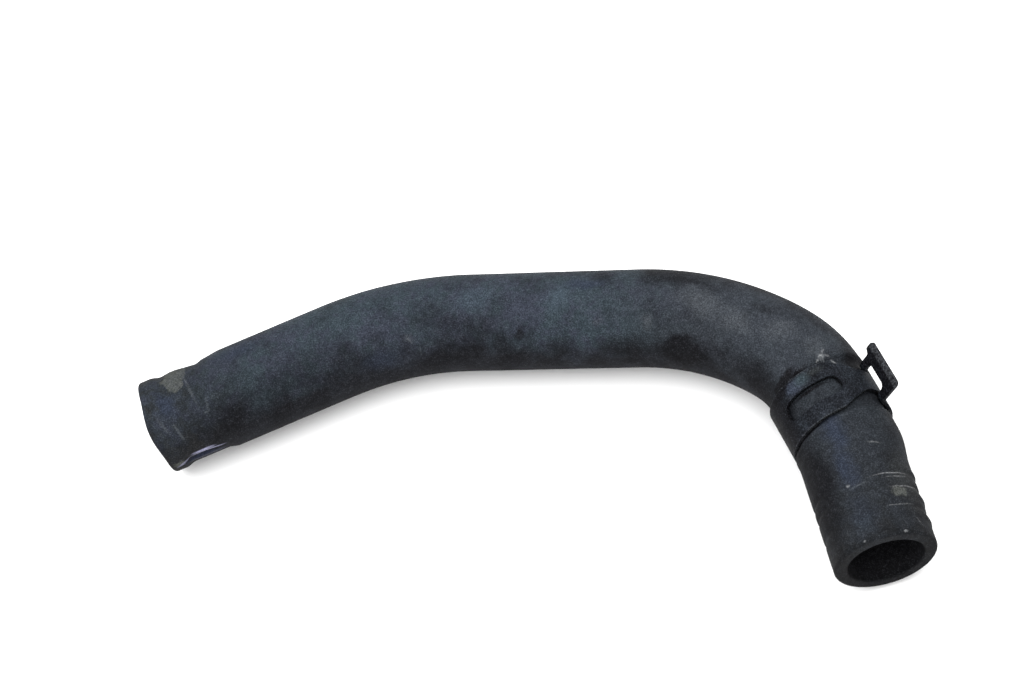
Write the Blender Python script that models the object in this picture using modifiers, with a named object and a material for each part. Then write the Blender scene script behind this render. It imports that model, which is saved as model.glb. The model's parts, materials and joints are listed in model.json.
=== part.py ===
"""Moulded coolant hose with its spring band clamp, lying on a flat surface.

Lengths are in metres, angles in degrees, and +Z is up. The hose is one rubber tube that
follows a flat hooked route. The clamp is one strip of spring steel: its narrow end passes
through a window in its wide end, and both ends are bent outwards into ears.
"""
import math

import bmesh
import bpy
from mathutils import Matrix, Vector

MM = 0.001

# Hose: route of the middle line, from the left mouth to the right mouth
LEFT_LEG = 54.0 * MM
LEFT_BEND_RADIUS = 88.5 * MM
LEFT_BEND_ANGLE = 25.5
MIDDLE_LEG = 47.5 * MM
MAIN_BEND_RADIUS = 71.0 * MM
MAIN_BEND_ANGLE = 34.0
TIGHT_BEND_RADIUS = 32.0 * MM
TIGHT_BEND_ANGLE = 32.5
CLAMP_LEG = 16.0 * MM
LAST_BEND_RADIUS = 54.0 * MM
LAST_BEND_ANGLE = 5.5
RIGHT_LEG = 29.5 * MM

# Hose: section, and the marks that older clamps left in the rubber
BORE_RADIUS = 10.0 * MM
HOSE_WALL = 3.5 * MM
HOSE_OUTER_RADIUS = BORE_RADIUS + HOSE_WALL
RIM_ROUND = 0.9 * MM
BORE_ROUND = 0.5 * MM
WAIST_START = 3.5 * MM
WAIST_END = 19.5 * MM
WAIST_DEPTH = 0.7 * MM
WAIST_EDGE = 3.0 * MM
MARK_SETBACKS = (18.6 * MM, 14.9 * MM, 8.7 * MM)
MARK_DEPTH = 0.3 * MM
MARK_HALF_WIDTH = 1.3 * MM
CREASE_SETBACK = 9.0 * MM
CREASE_ANGLE = -99.0
CREASE_LENGTH = 17.0 * MM
CREASE_WIDTH = 2.2 * MM
CREASE_DEPTH = 0.6 * MM

# Clamp: strip, seat and place along the hose
BAND_WIDTH = 15.0 * MM
BAND_THICKNESS = 1.2 * MM
BAND_EDGE_BREAK = 0.18 * MM
SEAT_DEPTH = 0.8 * MM
SEAT_CLEARANCE = 0.3 * MM
SEAT_SIDE_CLEARANCE = 0.4 * MM
CLAMP_OFFSET = 5.5 * MM
CLAMP_SKEW = 4.5
STRIP_BEND_RADIUS = 1.0 * MM

# Clamp: ears, fork slot, long slot and tongue, as angles from the top towards the outside
FORK_BEND_AT = 69.0
FORK_EAR_TURN = 60.0
FORK_EAR_LENGTH = 6.6 * MM
FORK_NECK_WIDTH = 12.6 * MM
FORK_HEAD_LENGTH = 2.6 * MM
FORK_HOOK_REACH = 7.8 * MM
FORK_BARE_REACH = 6.8 * MM
WINDOW_BRIDGE = 4.2 * MM
TONGUE_BEND_AT = 131.0
TONGUE_EAR_TURN = 90.0
TONGUE_EAR_LENGTH = 4.6 * MM
TONGUE_WIDTH = 6.6 * MM
TONGUE_CLEARANCE = 0.6 * MM
TONGUE_HEAD_LENGTH = 3.2 * MM
TONGUE_HEAD_WIDTH = 12.0 * MM
FORK_SLOT_WIDTH = TONGUE_WIDTH + 2 * TONGUE_CLEARANCE
FORK_SLOT_RUN = 17.0
LONG_SLOT_FROM = -54.0
LONG_SLOT_TO = 18.0
LONG_SLOT_WIDTH = 5.4 * MM
TAPER_FROM = 8.0
TAPER_TO = 46.0

# Clamp: shoulder between the fork ear and the band, and rounded corners of the blank
SHOULDER_SETBACK = 1.5 * MM
SHOULDER_RUN = 2.0 * MM
HOOK_SLOPE = 0.7 * MM
BARE_CORNER = 1.3 * MM
TIP_CORNER = 0.7 * MM
HOOK_CORNER = 0.5 * MM
NECK_CORNER = 0.6 * MM
SHOULDER_CORNER = 1.2 * MM
TAPER_CORNER = 4.0 * MM
WINDOW_CORNER = 1.5 * MM
SLOT_END_SHARE = 0.49
FULL_TURN = 360.0

# Steps of the meshes
OUTER_SIDES = 48
BORE_SIDES = 36
ARC_STEP = 5.0
STRIP_STEP = 1.6 * MM
CORNER_STEP = 22.5
REST_STEPS = 400
REST_FIRST_STEP = 40

# Finishes: colour, roughness, metallic
RUBBER = ("hose_rubber", (0.024, 0.027, 0.033), 0.72, 0.0)
STEEL = ("clamp_steel", (0.018, 0.019, 0.022), 0.45, 0.6)

HOSE_ROUTE = (
    ("straight", LEFT_LEG),
    ("arc", LEFT_BEND_RADIUS, -LEFT_BEND_ANGLE),
    ("straight", MIDDLE_LEG),
    ("arc", MAIN_BEND_RADIUS, -MAIN_BEND_ANGLE),
    ("arc", TIGHT_BEND_RADIUS, -TIGHT_BEND_ANGLE),
    ("straight", CLAMP_LEG),
    ("arc", LAST_BEND_RADIUS, -LAST_BEND_ANGLE),
    ("straight", RIGHT_LEG),
)


def clear_scene():
    """Remove every object of the opened file."""
    for item in list(bpy.data.objects):
        bpy.data.objects.remove(item, do_unlink=True)


def make_collection(name, hidden=False):
    """Return a new collection linked to the scene."""
    group = bpy.data.collections.new(name)
    group.hide_render = hidden
    bpy.context.scene.collection.children.link(group)
    return group


def make_material(finish):
    """Return a Principled material with a plain colour, roughness and metallic value."""
    name, colour, roughness, metallic = finish
    material = bpy.data.materials.new(name)
    material.use_nodes = True
    shader = material.node_tree.nodes["Principled BSDF"]
    shader.inputs["Base Color"].default_value = (*colour, 1.0)
    shader.inputs["Roughness"].default_value = roughness
    shader.inputs["Metallic"].default_value = metallic
    return material


def route_length(route):
    """Return the length of a flat route of straights and arcs."""
    total = 0.0
    for kind, size, *turn in route:
        total += size if kind == "straight" else size * math.radians(abs(turn[0]))
    return total


def route_pose(route, distance, heading=0.0):
    """Return the point and the heading, in radians, at a distance along a flat route.

    A distance before the start or past the end carries on straight.
    """
    point = Vector((0.0, 0.0))
    left = distance
    for index, (kind, size, *turn) in enumerate(route):
        last = index == len(route) - 1
        if kind == "straight":
            step = left if last or left < size else size
            point = point + Vector((math.cos(heading), math.sin(heading))) * step
            left -= step
        else:
            angle = math.radians(turn[0])
            share = min(left / (size * abs(angle)), 1.0)
            side = math.copysign(1.0, angle)
            centre = point + Vector((-math.sin(heading), math.cos(heading))) * side * size
            heading += angle * share
            point = centre - Vector((-math.sin(heading), math.cos(heading))) * side * size
            left -= size * abs(angle) * share
        if left <= 0.0:
            break
    return point, heading


def hose_pose(distance):
    """Return the point and direction of the hose's middle line, with the middle leg along +X."""
    point, heading = route_pose(HOSE_ROUTE, distance, math.radians(LEFT_BEND_ANGLE))
    return Vector((*point, 0.0)), Vector((math.cos(heading), math.sin(heading), 0.0))


def smooth_step(value):
    """Return 0 to 1 with level ends for a value that runs from 0 to 1."""
    value = min(max(value, 0.0), 1.0)
    return value * value * (3.0 - 2.0 * value)


def rim_drop(inside, size):
    """Return how far a rounded rim falls back at a depth inside its end face."""
    if inside >= size:
        return 0.0
    inside = max(inside, 0.0)
    return size - math.sqrt(size * size - (size - inside) ** 2)


def hose_radius(distance):
    """Return the hose's outer radius at a distance from the left mouth."""
    length = route_length(HOSE_ROUTE)
    entry = smooth_step((distance - WAIST_START) / WAIST_EDGE)
    leave = smooth_step((WAIST_END - distance) / WAIST_EDGE)
    radius = HOSE_OUTER_RADIUS - WAIST_DEPTH * min(entry, leave)
    for setback in MARK_SETBACKS:
        away = abs(distance - (length - setback)) / MARK_HALF_WIDTH
        radius -= MARK_DEPTH * smooth_step(1.0 - away)
    return radius - rim_drop(min(distance, length - distance), RIM_ROUND)


def bore_radius(distance):
    """Return the bore's radius at a distance from the left mouth, with rounded mouths."""
    length = route_length(HOSE_ROUTE)
    return BORE_RADIUS + rim_drop(min(distance, length - distance), BORE_ROUND)


def arc_distances():
    """Return the ends of each arc of the route and the steps between them."""
    found = []
    start = 0.0
    for kind, size, *turn in HOSE_ROUTE:
        run = size if kind == "straight" else size * math.radians(abs(turn[0]))
        steps = 1 if kind == "straight" else math.ceil(abs(turn[0]) / ARC_STEP)
        found += [start + run * step / steps for step in range(steps + 1)]
        start += run
    return found


def sorted_distances(values, closest=0.1 * MM):
    """Return the values in order, without those that lie too close to the one before."""
    kept = []
    for value in sorted(values):
        if not kept or value - kept[-1] > closest:
            kept.append(value)
    return kept


def outer_distances():
    """Return the distances at which the hose's outer surface has a ring."""
    length = route_length(HOSE_ROUTE)
    rim = [RIM_ROUND * (1.0 - math.cos(math.radians(angle))) for angle in (0.0, 30.0, 60.0, 90.0)]
    values = arc_distances() + rim + [length - depth for depth in rim]
    for share in (0.0, 0.35, 0.65, 1.0):
        values.append(WAIST_START + WAIST_EDGE * share)
        values.append(WAIST_END - WAIST_EDGE * share)
    for setback in MARK_SETBACKS:
        for share in (-1.0, -0.5, 0.0, 0.5, 1.0):
            values.append(length - setback + MARK_HALF_WIDTH * share)
    return sorted_distances(values)


def bore_distances():
    """Return the distances at which the bore cutter has a ring, past both mouths."""
    length = route_length(HOSE_ROUTE)
    rim = [BORE_ROUND * (1.0 - math.cos(math.radians(angle))) for angle in (30.0, 60.0, 90.0)]
    values = [value for value in arc_distances() if BORE_ROUND < value < length - BORE_ROUND]
    values += rim + [length - depth for depth in rim]
    return sorted_distances(values + [-HOSE_WALL, length + HOSE_WALL], 0.05 * MM)


def mesh_from_curve(curve_object, name, group):
    """Turn a curve object into a welded mesh object in a collection, and remove the curve."""
    bpy.context.view_layer.update()
    evaluated = curve_object.evaluated_get(bpy.context.evaluated_depsgraph_get())
    mesh = bpy.data.meshes.new_from_object(evaluated)
    mesh.name = name
    mesh.transform(curve_object.matrix_world)
    bpy.data.objects.remove(curve_object, do_unlink=True)
    shape = bmesh.new()
    shape.from_mesh(mesh)
    bmesh.ops.remove_doubles(shape, verts=shape.verts, dist=0.00001)
    bmesh.ops.recalc_face_normals(shape, faces=shape.faces)
    shape.to_mesh(mesh)
    shape.free()
    mesh.materials.clear()
    result = bpy.data.objects.new(name, mesh)
    group.objects.link(result)
    return result


def make_tube(name, distances, radius_at, widest, sides, group):
    """Return a solid tube along the hose's route whose radius follows a function."""
    curve = bpy.data.curves.new(name, "CURVE")
    curve.dimensions = "3D"
    curve.twist_mode = "Z_UP"
    curve.bevel_depth = widest
    curve.bevel_resolution = (sides - 4) // 2
    curve.use_fill_caps = True
    spline = curve.splines.new("POLY")
    spline.points.add(len(distances) - 1)
    for node, distance in zip(spline.points, distances):
        point, _ = hose_pose(distance)
        node.co = (*point, 1.0)
        node.radius = radius_at(distance) / widest
    holder = bpy.data.objects.new(name + "_curve", curve)
    group.objects.link(holder)
    return mesh_from_curve(holder, name, group)


def cut(target, cutter):
    """Take a cutter's shape away from a target with a Boolean modifier, and apply it."""
    modifier = target.modifiers.new("cut", "BOOLEAN")
    modifier.operation = "DIFFERENCE"
    modifier.solver = "EXACT"
    modifier.object = cutter
    bpy.context.view_layer.update()
    evaluated = target.evaluated_get(bpy.context.evaluated_depsgraph_get())
    mesh = bpy.data.meshes.new_from_object(evaluated)
    target.modifiers.remove(modifier)
    target.data = mesh
    cutter.display_type = "WIRE"
    cutter.hide_render = True


def hose_frame(distance):
    """Return a matrix at the hose's middle line: X to the outside of the bends, Y up, Z onward."""
    point, onward = hose_pose(distance)
    outside = Vector((0.0, 0.0, 1.0)).cross(onward)
    frame = Matrix((outside, Vector((0.0, 0.0, 1.0)), onward)).transposed().to_4x4()
    return Matrix.Translation(point) @ frame


def clamp_frame():
    """Return the clamp's matrix: its middle, its axis along Z and its skew on the hose."""
    straight_start = route_length(HOSE_ROUTE[:5])
    skew = Matrix.Rotation(math.radians(CLAMP_SKEW), 4, "Y")
    return hose_frame(straight_start + CLAMP_OFFSET) @ skew


def seat_radius():
    """Return the radius of the seat that the clamp has pressed into the hose."""
    return HOSE_OUTER_RADIUS - SEAT_DEPTH


def band_mid_radius():
    """Return the radius of the middle of the strip's thickness."""
    return seat_radius() + SEAT_CLEARANCE + BAND_THICKNESS / 2


def make_seat_cutter(group):
    """Return the ring that cuts the clamp's seat: a box section turned by a Screw modifier."""
    half = BAND_WIDTH / 2 + SEAT_SIDE_CLEARANCE
    inner = seat_radius()
    outer = HOSE_OUTER_RADIUS + BAND_THICKNESS
    shape = bmesh.new()
    corners = [(inner, -half), (inner, half), (outer, half), (outer, -half)]
    section = [shape.verts.new((radius, 0.0, along)) for radius, along in corners]
    for index, corner in enumerate(section):
        shape.edges.new((corner, section[(index + 1) % len(section)]))
    mesh = bpy.data.meshes.new("seat_cutter")
    shape.to_mesh(mesh)
    shape.free()
    cutter = bpy.data.objects.new("seat_cutter", mesh)
    group.objects.link(cutter)
    turn = cutter.modifiers.new("turn", "SCREW")
    turn.axis = "Z"
    turn.steps = OUTER_SIDES
    turn.render_steps = OUTER_SIDES
    turn.use_merge_vertices = True
    turn.merge_threshold = 0.00001
    cutter.matrix_world = clamp_frame()
    return cutter


def make_crease_cutter(group):
    """Return the long thin cutter of the crease under the left mouth."""
    mesh = bpy.data.meshes.new("crease_cutter")
    shape = bmesh.new()
    bmesh.ops.create_uvsphere(shape, u_segments=12, v_segments=14, radius=0.5)
    shape.to_mesh(mesh)
    shape.free()
    cutter = bpy.data.objects.new("crease_cutter", mesh)
    group.objects.link(cutter)
    angle = math.radians(CREASE_ANGLE)
    radius = hose_radius(CREASE_SETBACK)
    place = Matrix.Translation((radius * math.sin(angle), radius * math.cos(angle), 0.0))
    turn = Matrix.Rotation(-angle, 4, "Z")
    size = Matrix.Diagonal((CREASE_WIDTH, 2 * CREASE_DEPTH, CREASE_LENGTH, 1.0))
    cutter.matrix_world = hose_frame(CREASE_SETBACK) @ place @ turn @ size
    return cutter


def make_hose(group, cutters):
    """Return the hose: one rubber tube with its bore, the clamp's seat and the crease."""
    hose = make_tube("coolant_hose", outer_distances(), hose_radius, HOSE_OUTER_RADIUS, OUTER_SIDES, group)
    bore = make_tube("bore_cutter", bore_distances(), bore_radius, BORE_RADIUS, BORE_SIDES, cutters)
    for cutter in (bore, make_seat_cutter(cutters), make_crease_cutter(cutters)):
        cut(hose, cutter)
    hose.data.materials.append(make_material(RUBBER))
    return hose


def strip_route():
    """Return the route of the strip's middle line, from the fork ear's tip to the tongue ear's tip."""
    bend = STRIP_BEND_RADIUS + BAND_THICKNESS / 2
    wrap = FULL_TURN + TONGUE_BEND_AT - FORK_BEND_AT
    return (
        ("straight", FORK_EAR_LENGTH),
        ("arc", bend, FORK_EAR_TURN),
        ("arc", band_mid_radius(), -wrap),
        ("arc", bend, TONGUE_EAR_TURN),
        ("straight", TONGUE_EAR_LENGTH),
    )


def ring_start():
    """Return the distance along the strip at which it starts to follow the hose."""
    return route_length(strip_route()[:2])


def at_angle(angle):
    """Return the distance along the strip at an angle round the hose, counted from the top."""
    return ring_start() + band_mid_radius() * math.radians(angle - FORK_BEND_AT)


def strip_pose(distance):
    """Return the point and the outward normal of the strip's middle line in the clamp's plane."""
    route = strip_route()
    start, start_heading = route_pose(route, ring_start())
    here, heading = route_pose(route, distance)
    angle = math.radians(FORK_BEND_AT)
    turn = -angle - start_heading
    offset = here - start
    turned = Vector((offset.x * math.cos(turn) - offset.y * math.sin(turn),
                     offset.x * math.sin(turn) + offset.y * math.cos(turn)))
    point = turned + Vector((math.sin(angle), math.cos(angle))) * band_mid_radius()
    heading += turn
    return point, Vector((-math.sin(heading), math.cos(heading)))


def round_corners(corners):
    """Return the points of a closed outline given as (along, across, corner radius)."""
    points = []
    count = len(corners)
    for index, (along, across, radius) in enumerate(corners):
        here = Vector((along, across))
        before = Vector(corners[index - 1][:2])
        after = Vector(corners[(index + 1) % count][:2])
        towards_before = (before - here).normalized()
        towards_after = (after - here).normalized()
        opening = towards_before.angle(towards_after)
        if radius <= 0.0 or opening > math.radians(179.0):
            points.append(here)
            continue
        setback = radius / math.tan(opening / 2)
        middle = here + (towards_before + towards_after).normalized() * radius / math.sin(opening / 2)
        first = here + towards_before * setback - middle
        last = here + towards_after * setback - middle
        sweep = math.pi - opening
        steps = max(1, math.ceil(sweep / math.radians(CORNER_STEP)))
        for step in range(steps + 1):
            share = step / steps
            blend = first * math.sin(sweep * (1 - share)) + last * math.sin(sweep * share)
            points.append(middle + blend / math.sin(sweep))
    return points


def strip_outline():
    """Return the corners of the flat strip: fork ear, full band, taper, tongue and tongue ear."""
    end = route_length(strip_route())
    full = BAND_WIDTH / 2
    neck = FORK_NECK_WIDTH / 2
    tongue = TONGUE_WIDTH / 2
    tongue_head = TONGUE_HEAD_WIDTH / 2
    shoulder = ring_start() + SHOULDER_SETBACK
    head_start = end - TONGUE_HEAD_LENGTH
    hooked = [
        (0.0, FORK_HOOK_REACH, TIP_CORNER),
        (FORK_HEAD_LENGTH, FORK_HOOK_REACH, HOOK_CORNER),
        (FORK_HEAD_LENGTH + HOOK_SLOPE, neck, NECK_CORNER),
        (shoulder, neck, SHOULDER_CORNER),
        (shoulder + SHOULDER_RUN, full, SHOULDER_CORNER),
        (at_angle(FULL_TURN + TAPER_FROM), full, TAPER_CORNER),
        (at_angle(FULL_TURN + TAPER_TO), tongue, TAPER_CORNER),
        (head_start, tongue, HOOK_CORNER),
        (head_start, tongue_head, NECK_CORNER),
        (end, tongue_head, TIP_CORNER),
    ]
    # The fork ear has its hook on the bend's side only: the other side runs straight to the tip
    bare = [(0.0, FORK_BARE_REACH, BARE_CORNER)] + hooked[3:]
    return bare + [(along, -across, radius) for along, across, radius in reversed(hooked)]


def slot_outline(start, end, width, corner):
    """Return the corners of a slot with rounded ends."""
    half = width / 2
    return [(start, -half, corner), (end, -half, corner), (end, half, corner), (start, half, corner)]


def make_flat_strip(group):
    """Return the flat blank of the clamp, with its window, fork slot and long slot."""
    window = slot_outline(
        WINDOW_BRIDGE,
        at_angle(TONGUE_BEND_AT + FORK_SLOT_RUN),
        FORK_SLOT_WIDTH,
        WINDOW_CORNER,
    )
    long_slot = slot_outline(
        at_angle(FULL_TURN + LONG_SLOT_FROM),
        at_angle(FULL_TURN + LONG_SLOT_TO),
        LONG_SLOT_WIDTH,
        SLOT_END_SHARE * LONG_SLOT_WIDTH,
    )
    curve = bpy.data.curves.new("strip_blank", "CURVE")
    curve.dimensions = "2D"
    curve.fill_mode = "BOTH"
    curve.extrude = BAND_THICKNESS / 2 - BAND_EDGE_BREAK
    curve.bevel_depth = BAND_EDGE_BREAK
    curve.bevel_resolution = 0
    curve.offset = -BAND_EDGE_BREAK
    for corners in (strip_outline(), window, long_slot):
        outline = round_corners(corners)
        spline = curve.splines.new("POLY")
        spline.use_cyclic_u = True
        spline.points.add(len(outline) - 1)
        for node, point in zip(spline.points, outline):
            node.co = (point.x, point.y, 0.0, 1.0)
    holder = bpy.data.objects.new("strip_blank_curve", curve)
    group.objects.link(holder)
    return mesh_from_curve(holder, "spring_band_clamp", group)


def make_clamp(group):
    """Return the clamp: the flat strip divided along its length and bent to its route."""
    clamp = make_flat_strip(group)
    shape = bmesh.new()
    shape.from_mesh(clamp.data)
    bmesh.ops.dissolve_limit(shape, angle_limit=math.radians(0.5), verts=shape.verts, edges=shape.edges)
    length = route_length(strip_route())
    bends = (FORK_EAR_LENGTH, ring_start(), at_angle(FULL_TURN + TONGUE_BEND_AT), length - TONGUE_EAR_LENGTH)
    stops = [length * step / round(length / STRIP_STEP) for step in range(1, round(length / STRIP_STEP))]
    stops += [bends[0] + (bends[1] - bends[0]) * share for share in (0.0, 0.33, 0.67, 1.0)]
    stops += [bends[2] + (bends[3] - bends[2]) * share for share in (0.0, 0.25, 0.5, 0.75, 1.0)]
    for stop in sorted_distances(stops, 0.25 * MM):
        geometry = list(shape.verts) + list(shape.edges) + list(shape.faces)
        bmesh.ops.bisect_plane(shape, geom=geometry, dist=0.000001, plane_co=(stop, 0.0, 0.0),
                               plane_no=(1.0, 0.0, 0.0))
    bmesh.ops.triangulate(shape, faces=shape.faces)
    for vertex in shape.verts:
        point, outward = strip_pose(vertex.co.x)
        bent = point + outward * vertex.co.z
        vertex.co = (bent.x, bent.y, vertex.co.y)
    bmesh.ops.recalc_face_normals(shape, faces=shape.faces)
    shape.to_mesh(clamp.data)
    shape.free()
    clamp.data.materials.append(make_material(STEEL))
    clamp.matrix_world = clamp_frame()
    return clamp


def rest_matrix():
    """Return the turn that lets the hose lie on its left mouth, its middle and the clamp's band."""
    length = route_length(HOSE_ROUTE)
    mouth, _ = hose_pose(0.0)
    clamp_point = clamp_frame().translation
    steps = range(REST_FIRST_STEP, REST_STEPS)
    points = [hose_pose(length * step / REST_STEPS)[0] for step in steps]
    touching = max(points, key=lambda point: math.atan2(point.y - mouth.y, point.x - mouth.x))
    along = (touching - mouth).normalized()
    reach = -along.cross(clamp_point - mouth).z
    proud = band_mid_radius() + BAND_THICKNESS / 2 - HOSE_OUTER_RADIUS
    turn = Matrix.Rotation(-math.asin(proud / reach), 4, along)
    return turn @ Matrix.Translation(-mouth)


def lay_down(pieces):
    """Hang the pieces on one empty, turned to rest and placed with the box's bottom centre at zero."""
    holder = bpy.data.objects.new("rest_pose", None)
    bpy.context.scene.collection.objects.link(holder)
    for piece in pieces:
        piece.parent = holder
    holder.matrix_world = rest_matrix()
    bpy.context.view_layer.update()
    corners = [piece.matrix_world @ vertex.co for piece in pieces for vertex in piece.data.vertices]
    lowest = Vector([min(corner[axis] for corner in corners) for axis in range(3)])
    highest = Vector([max(corner[axis] for corner in corners) for axis in range(3)])
    middle = (lowest + highest) / 2
    shift = Matrix.Translation((-middle.x, -middle.y, -lowest.z))
    holder.matrix_world = shift @ holder.matrix_world
    bpy.context.view_layer.update()


def main():
    """Build the hose and the clamp and lay them down together."""
    clear_scene()
    pieces = make_collection("coolant_hose_assembly")
    cutters = make_collection("cutters", hidden=True)
    hose = make_hose(pieces, cutters)
    clamp = make_clamp(pieces)
    lay_down([hose, clamp])


main()
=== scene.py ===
"""Looks of a moulded coolant hose and its spring band clamp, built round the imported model.

Lengths are in metres and angles in degrees. A place on the hose is a distance from the left
mouth along its middle line and an angle round it, counted from the top towards the outside
of the bends.
"""
import json
import logging
import math
from dataclasses import dataclass, field
from enum import Enum

import bmesh
import bpy
from mathutils import Matrix, Vector


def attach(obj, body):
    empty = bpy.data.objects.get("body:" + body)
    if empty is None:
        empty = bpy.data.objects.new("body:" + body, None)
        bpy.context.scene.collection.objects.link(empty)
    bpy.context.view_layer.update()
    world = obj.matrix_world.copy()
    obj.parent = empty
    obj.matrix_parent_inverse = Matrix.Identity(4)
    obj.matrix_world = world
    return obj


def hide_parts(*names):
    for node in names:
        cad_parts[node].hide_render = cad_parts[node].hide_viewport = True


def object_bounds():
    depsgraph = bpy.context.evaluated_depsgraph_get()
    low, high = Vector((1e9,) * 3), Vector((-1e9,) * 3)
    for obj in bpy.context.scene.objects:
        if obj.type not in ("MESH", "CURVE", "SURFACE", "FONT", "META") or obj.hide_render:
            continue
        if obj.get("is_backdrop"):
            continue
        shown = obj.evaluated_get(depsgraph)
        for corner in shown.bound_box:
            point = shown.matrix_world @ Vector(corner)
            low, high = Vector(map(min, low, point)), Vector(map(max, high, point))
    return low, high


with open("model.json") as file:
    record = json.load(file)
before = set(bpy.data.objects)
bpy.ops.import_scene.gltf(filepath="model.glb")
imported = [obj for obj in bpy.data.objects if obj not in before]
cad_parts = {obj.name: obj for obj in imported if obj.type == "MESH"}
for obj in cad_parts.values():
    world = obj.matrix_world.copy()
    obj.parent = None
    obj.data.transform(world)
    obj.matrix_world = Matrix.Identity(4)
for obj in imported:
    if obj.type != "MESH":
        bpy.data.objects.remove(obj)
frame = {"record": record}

MM = 0.001
BODY = "root"
HOSE_NODE = "coolant_hose"
CLAMP_NODE = "spring_band_clamp"
FULL_TURN = 360.0
HOSE_RADIUS_MM = 13.5
STREAK_SOFT = 0.8
WRAP_ATTRIBUTE = "wrap"
BORE_ATTRIBUTE = "bore"
FLAT_ATTRIBUTE = "flat"
UPWARD = (0.0, 0.0, 1.0)

Colour = tuple[float, float, float]
Point = tuple[float, float, float]
Socket = bpy.types.NodeSocket
Value = float | Socket

log = logging.getLogger("coolant_hose")


def smooth_step(value: float) -> float:
    """Return 0 to 1 with level ends for a value that runs from 0 to 1."""
    value = min(max(value, 0.0), 1.0)
    return value * value * (3.0 - 2.0 * value)


class RunKind(Enum):
    """The two kinds of stretch that a flat route is made of."""

    STRAIGHT = "straight"
    ARC = "arc"


class WearAndLightTone(Enum):
    """What a mark on the rubber shows: real wear and dirt, painted shade, a painted highlight and painted
    sheen.
    """

    # Painted shade in hollows, gaps, under edges and on lower sides, and some darker patches.
    SHADE = "shade"
    # Painted shade: the dark navy hollow under the left end's crease.
    NAVY_SHADE = "navy"
    # Bluish bloom with a painted sheen on it.
    BLOOM = "bloom"
    # A painted bluish sheen.
    BLUE_SHEEN = "haze"
    DUST = "dust"
    CLAY = "clay"
    SCUFF = "scuff"
    # The pale lilac streak of a worn crease, with a painted highlight along it.
    LILAC = "lilac"


SHADE, NAVY_SHADE, BLOOM, BLUE_SHEEN, DUST, CLAY, SCUFF, LILAC = WearAndLightTone


@dataclass(frozen=True)
class Run:
    """One stretch of a flat route: a straight of a length, or an arc of a radius and a turn."""

    kind: RunKind
    size: float
    turn: float = 0.0

    @property
    def length(self) -> float:
        """Return the stretch's length."""
        return self.size if self.kind is RunKind.STRAIGHT else self.size * math.radians(abs(self.turn))


@dataclass(frozen=True)
class FlatRoute:
    """A route of straights and arcs in a plane."""

    runs: tuple[Run, ...]
    heading: float = 0.0

    def length(self, count: int | None = None) -> float:
        """Return the length of the route's first stretches, or of all of them."""
        return sum(run.length for run in self.runs[:count])

    def pose(self, distance: float) -> tuple[Vector, float]:
        """Return the point and the heading at a distance along the route.

        Args:
            distance: metres from the start; past either end the route carries on straight.

        Returns:
            The point in the route's plane and the heading in radians.
        """
        point = Vector((0.0, 0.0))
        heading = math.radians(self.heading)
        left = distance
        for index, run in enumerate(self.runs):
            last = index == len(self.runs) - 1
            if run.kind is RunKind.STRAIGHT:
                step = left if last or left < run.size else run.size
                point = point + Vector((math.cos(heading), math.sin(heading))) * step
                left -= step
            else:
                angle = math.radians(run.turn)
                share = min(left / run.length, 1.0)
                side = math.copysign(1.0, angle)
                centre = point + Vector((-math.sin(heading), math.cos(heading))) * side * run.size
                heading += angle * share
                point = centre - Vector((-math.sin(heading), math.cos(heading))) * side * run.size
                left -= run.length * share
            if left <= 0.0:
                break
        return point, heading


@dataclass(frozen=True)
class Oval:
    """An oval place on the hose's surface.

    Attributes:
        distance: place along the hose, in millimetres from the left mouth.
        angle: place round the hose, in degrees from the top.
        half_along: half its size along its own long direction, in millimetres.
        half_around: half its size across that, in millimetres.
    """

    distance: float
    angle: float
    half_along: float
    half_around: float

    def spot(self, radius: float) -> tuple[Point, Point]:
        """Return its middle and its half sizes on the unrolled surface of a hose with a radius."""
        middle = (self.distance * MM, math.radians(self.angle) * radius, 0.0)
        return middle, (self.half_along * MM, self.half_around * MM, 1.0)


@dataclass(frozen=True)
class WearAndLightMark(Oval):
    """An oval mark on the hose: real wear and dirt, painted shade, a painted highlight and painted sheen.

    Attributes:
        tone: what the mark shows.
        strength: how strongly it shows, from 0 to 1.
        soft: the share of its size over which it fades.
        turn: degrees from along the hose towards round it.
    """

    tone: WearAndLightTone
    strength: float = 1.0
    soft: float = 0.9
    turn: float = 0.0


def streak(
    start: tuple[float, float], end: tuple[float, float], half_width: float, tone: WearAndLightTone, strength: float
) -> WearAndLightMark:
    """Return a thin mark between two places on the hose, such as a scratch, a dusty line and a painted
    shadow line.

    Args:
        start: one end, as millimetres along the hose and degrees round it.
        end: the other end.
        half_width: half the mark's width in millimetres.
        tone: what the mark shows.
        strength: how strongly it shows.

    Returns:
        The mark.
    """
    along = end[0] - start[0]
    around = math.radians(end[1] - start[1]) * HOSE_RADIUS_MM
    middle = ((start[0] + end[0]) / 2, (start[1] + end[1]) / 2)
    turn = math.degrees(math.atan2(around, along))
    return WearAndLightMark(*middle, math.hypot(along, around) / 2, half_width, tone, strength, STREAK_SOFT, turn)


@dataclass(frozen=True)
class Relief(Oval):
    """A swelling, or with a negative height a dent, on the hose's surface, in millimetres."""

    height: float
    turn: float = 0.0


@dataclass(frozen=True)
class MarkEdge:
    """How noise of a size shifts the edges of marks whose smaller half size in mm is under a limit."""

    limit: float
    size: float
    reach: float


@dataclass(frozen=True)
class Noise:
    """A noise pattern: the size of its features, its finer layers, the share each keeps, and its seed."""

    size: float
    detail: float = 3.0
    rough: float = 0.5
    seed: float = 0.0


@dataclass(frozen=True)
class Fade:
    """A smooth change from low to high while a value goes from start to end."""

    start: float
    end: float
    low: float = 0.0
    high: float = 1.0


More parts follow.
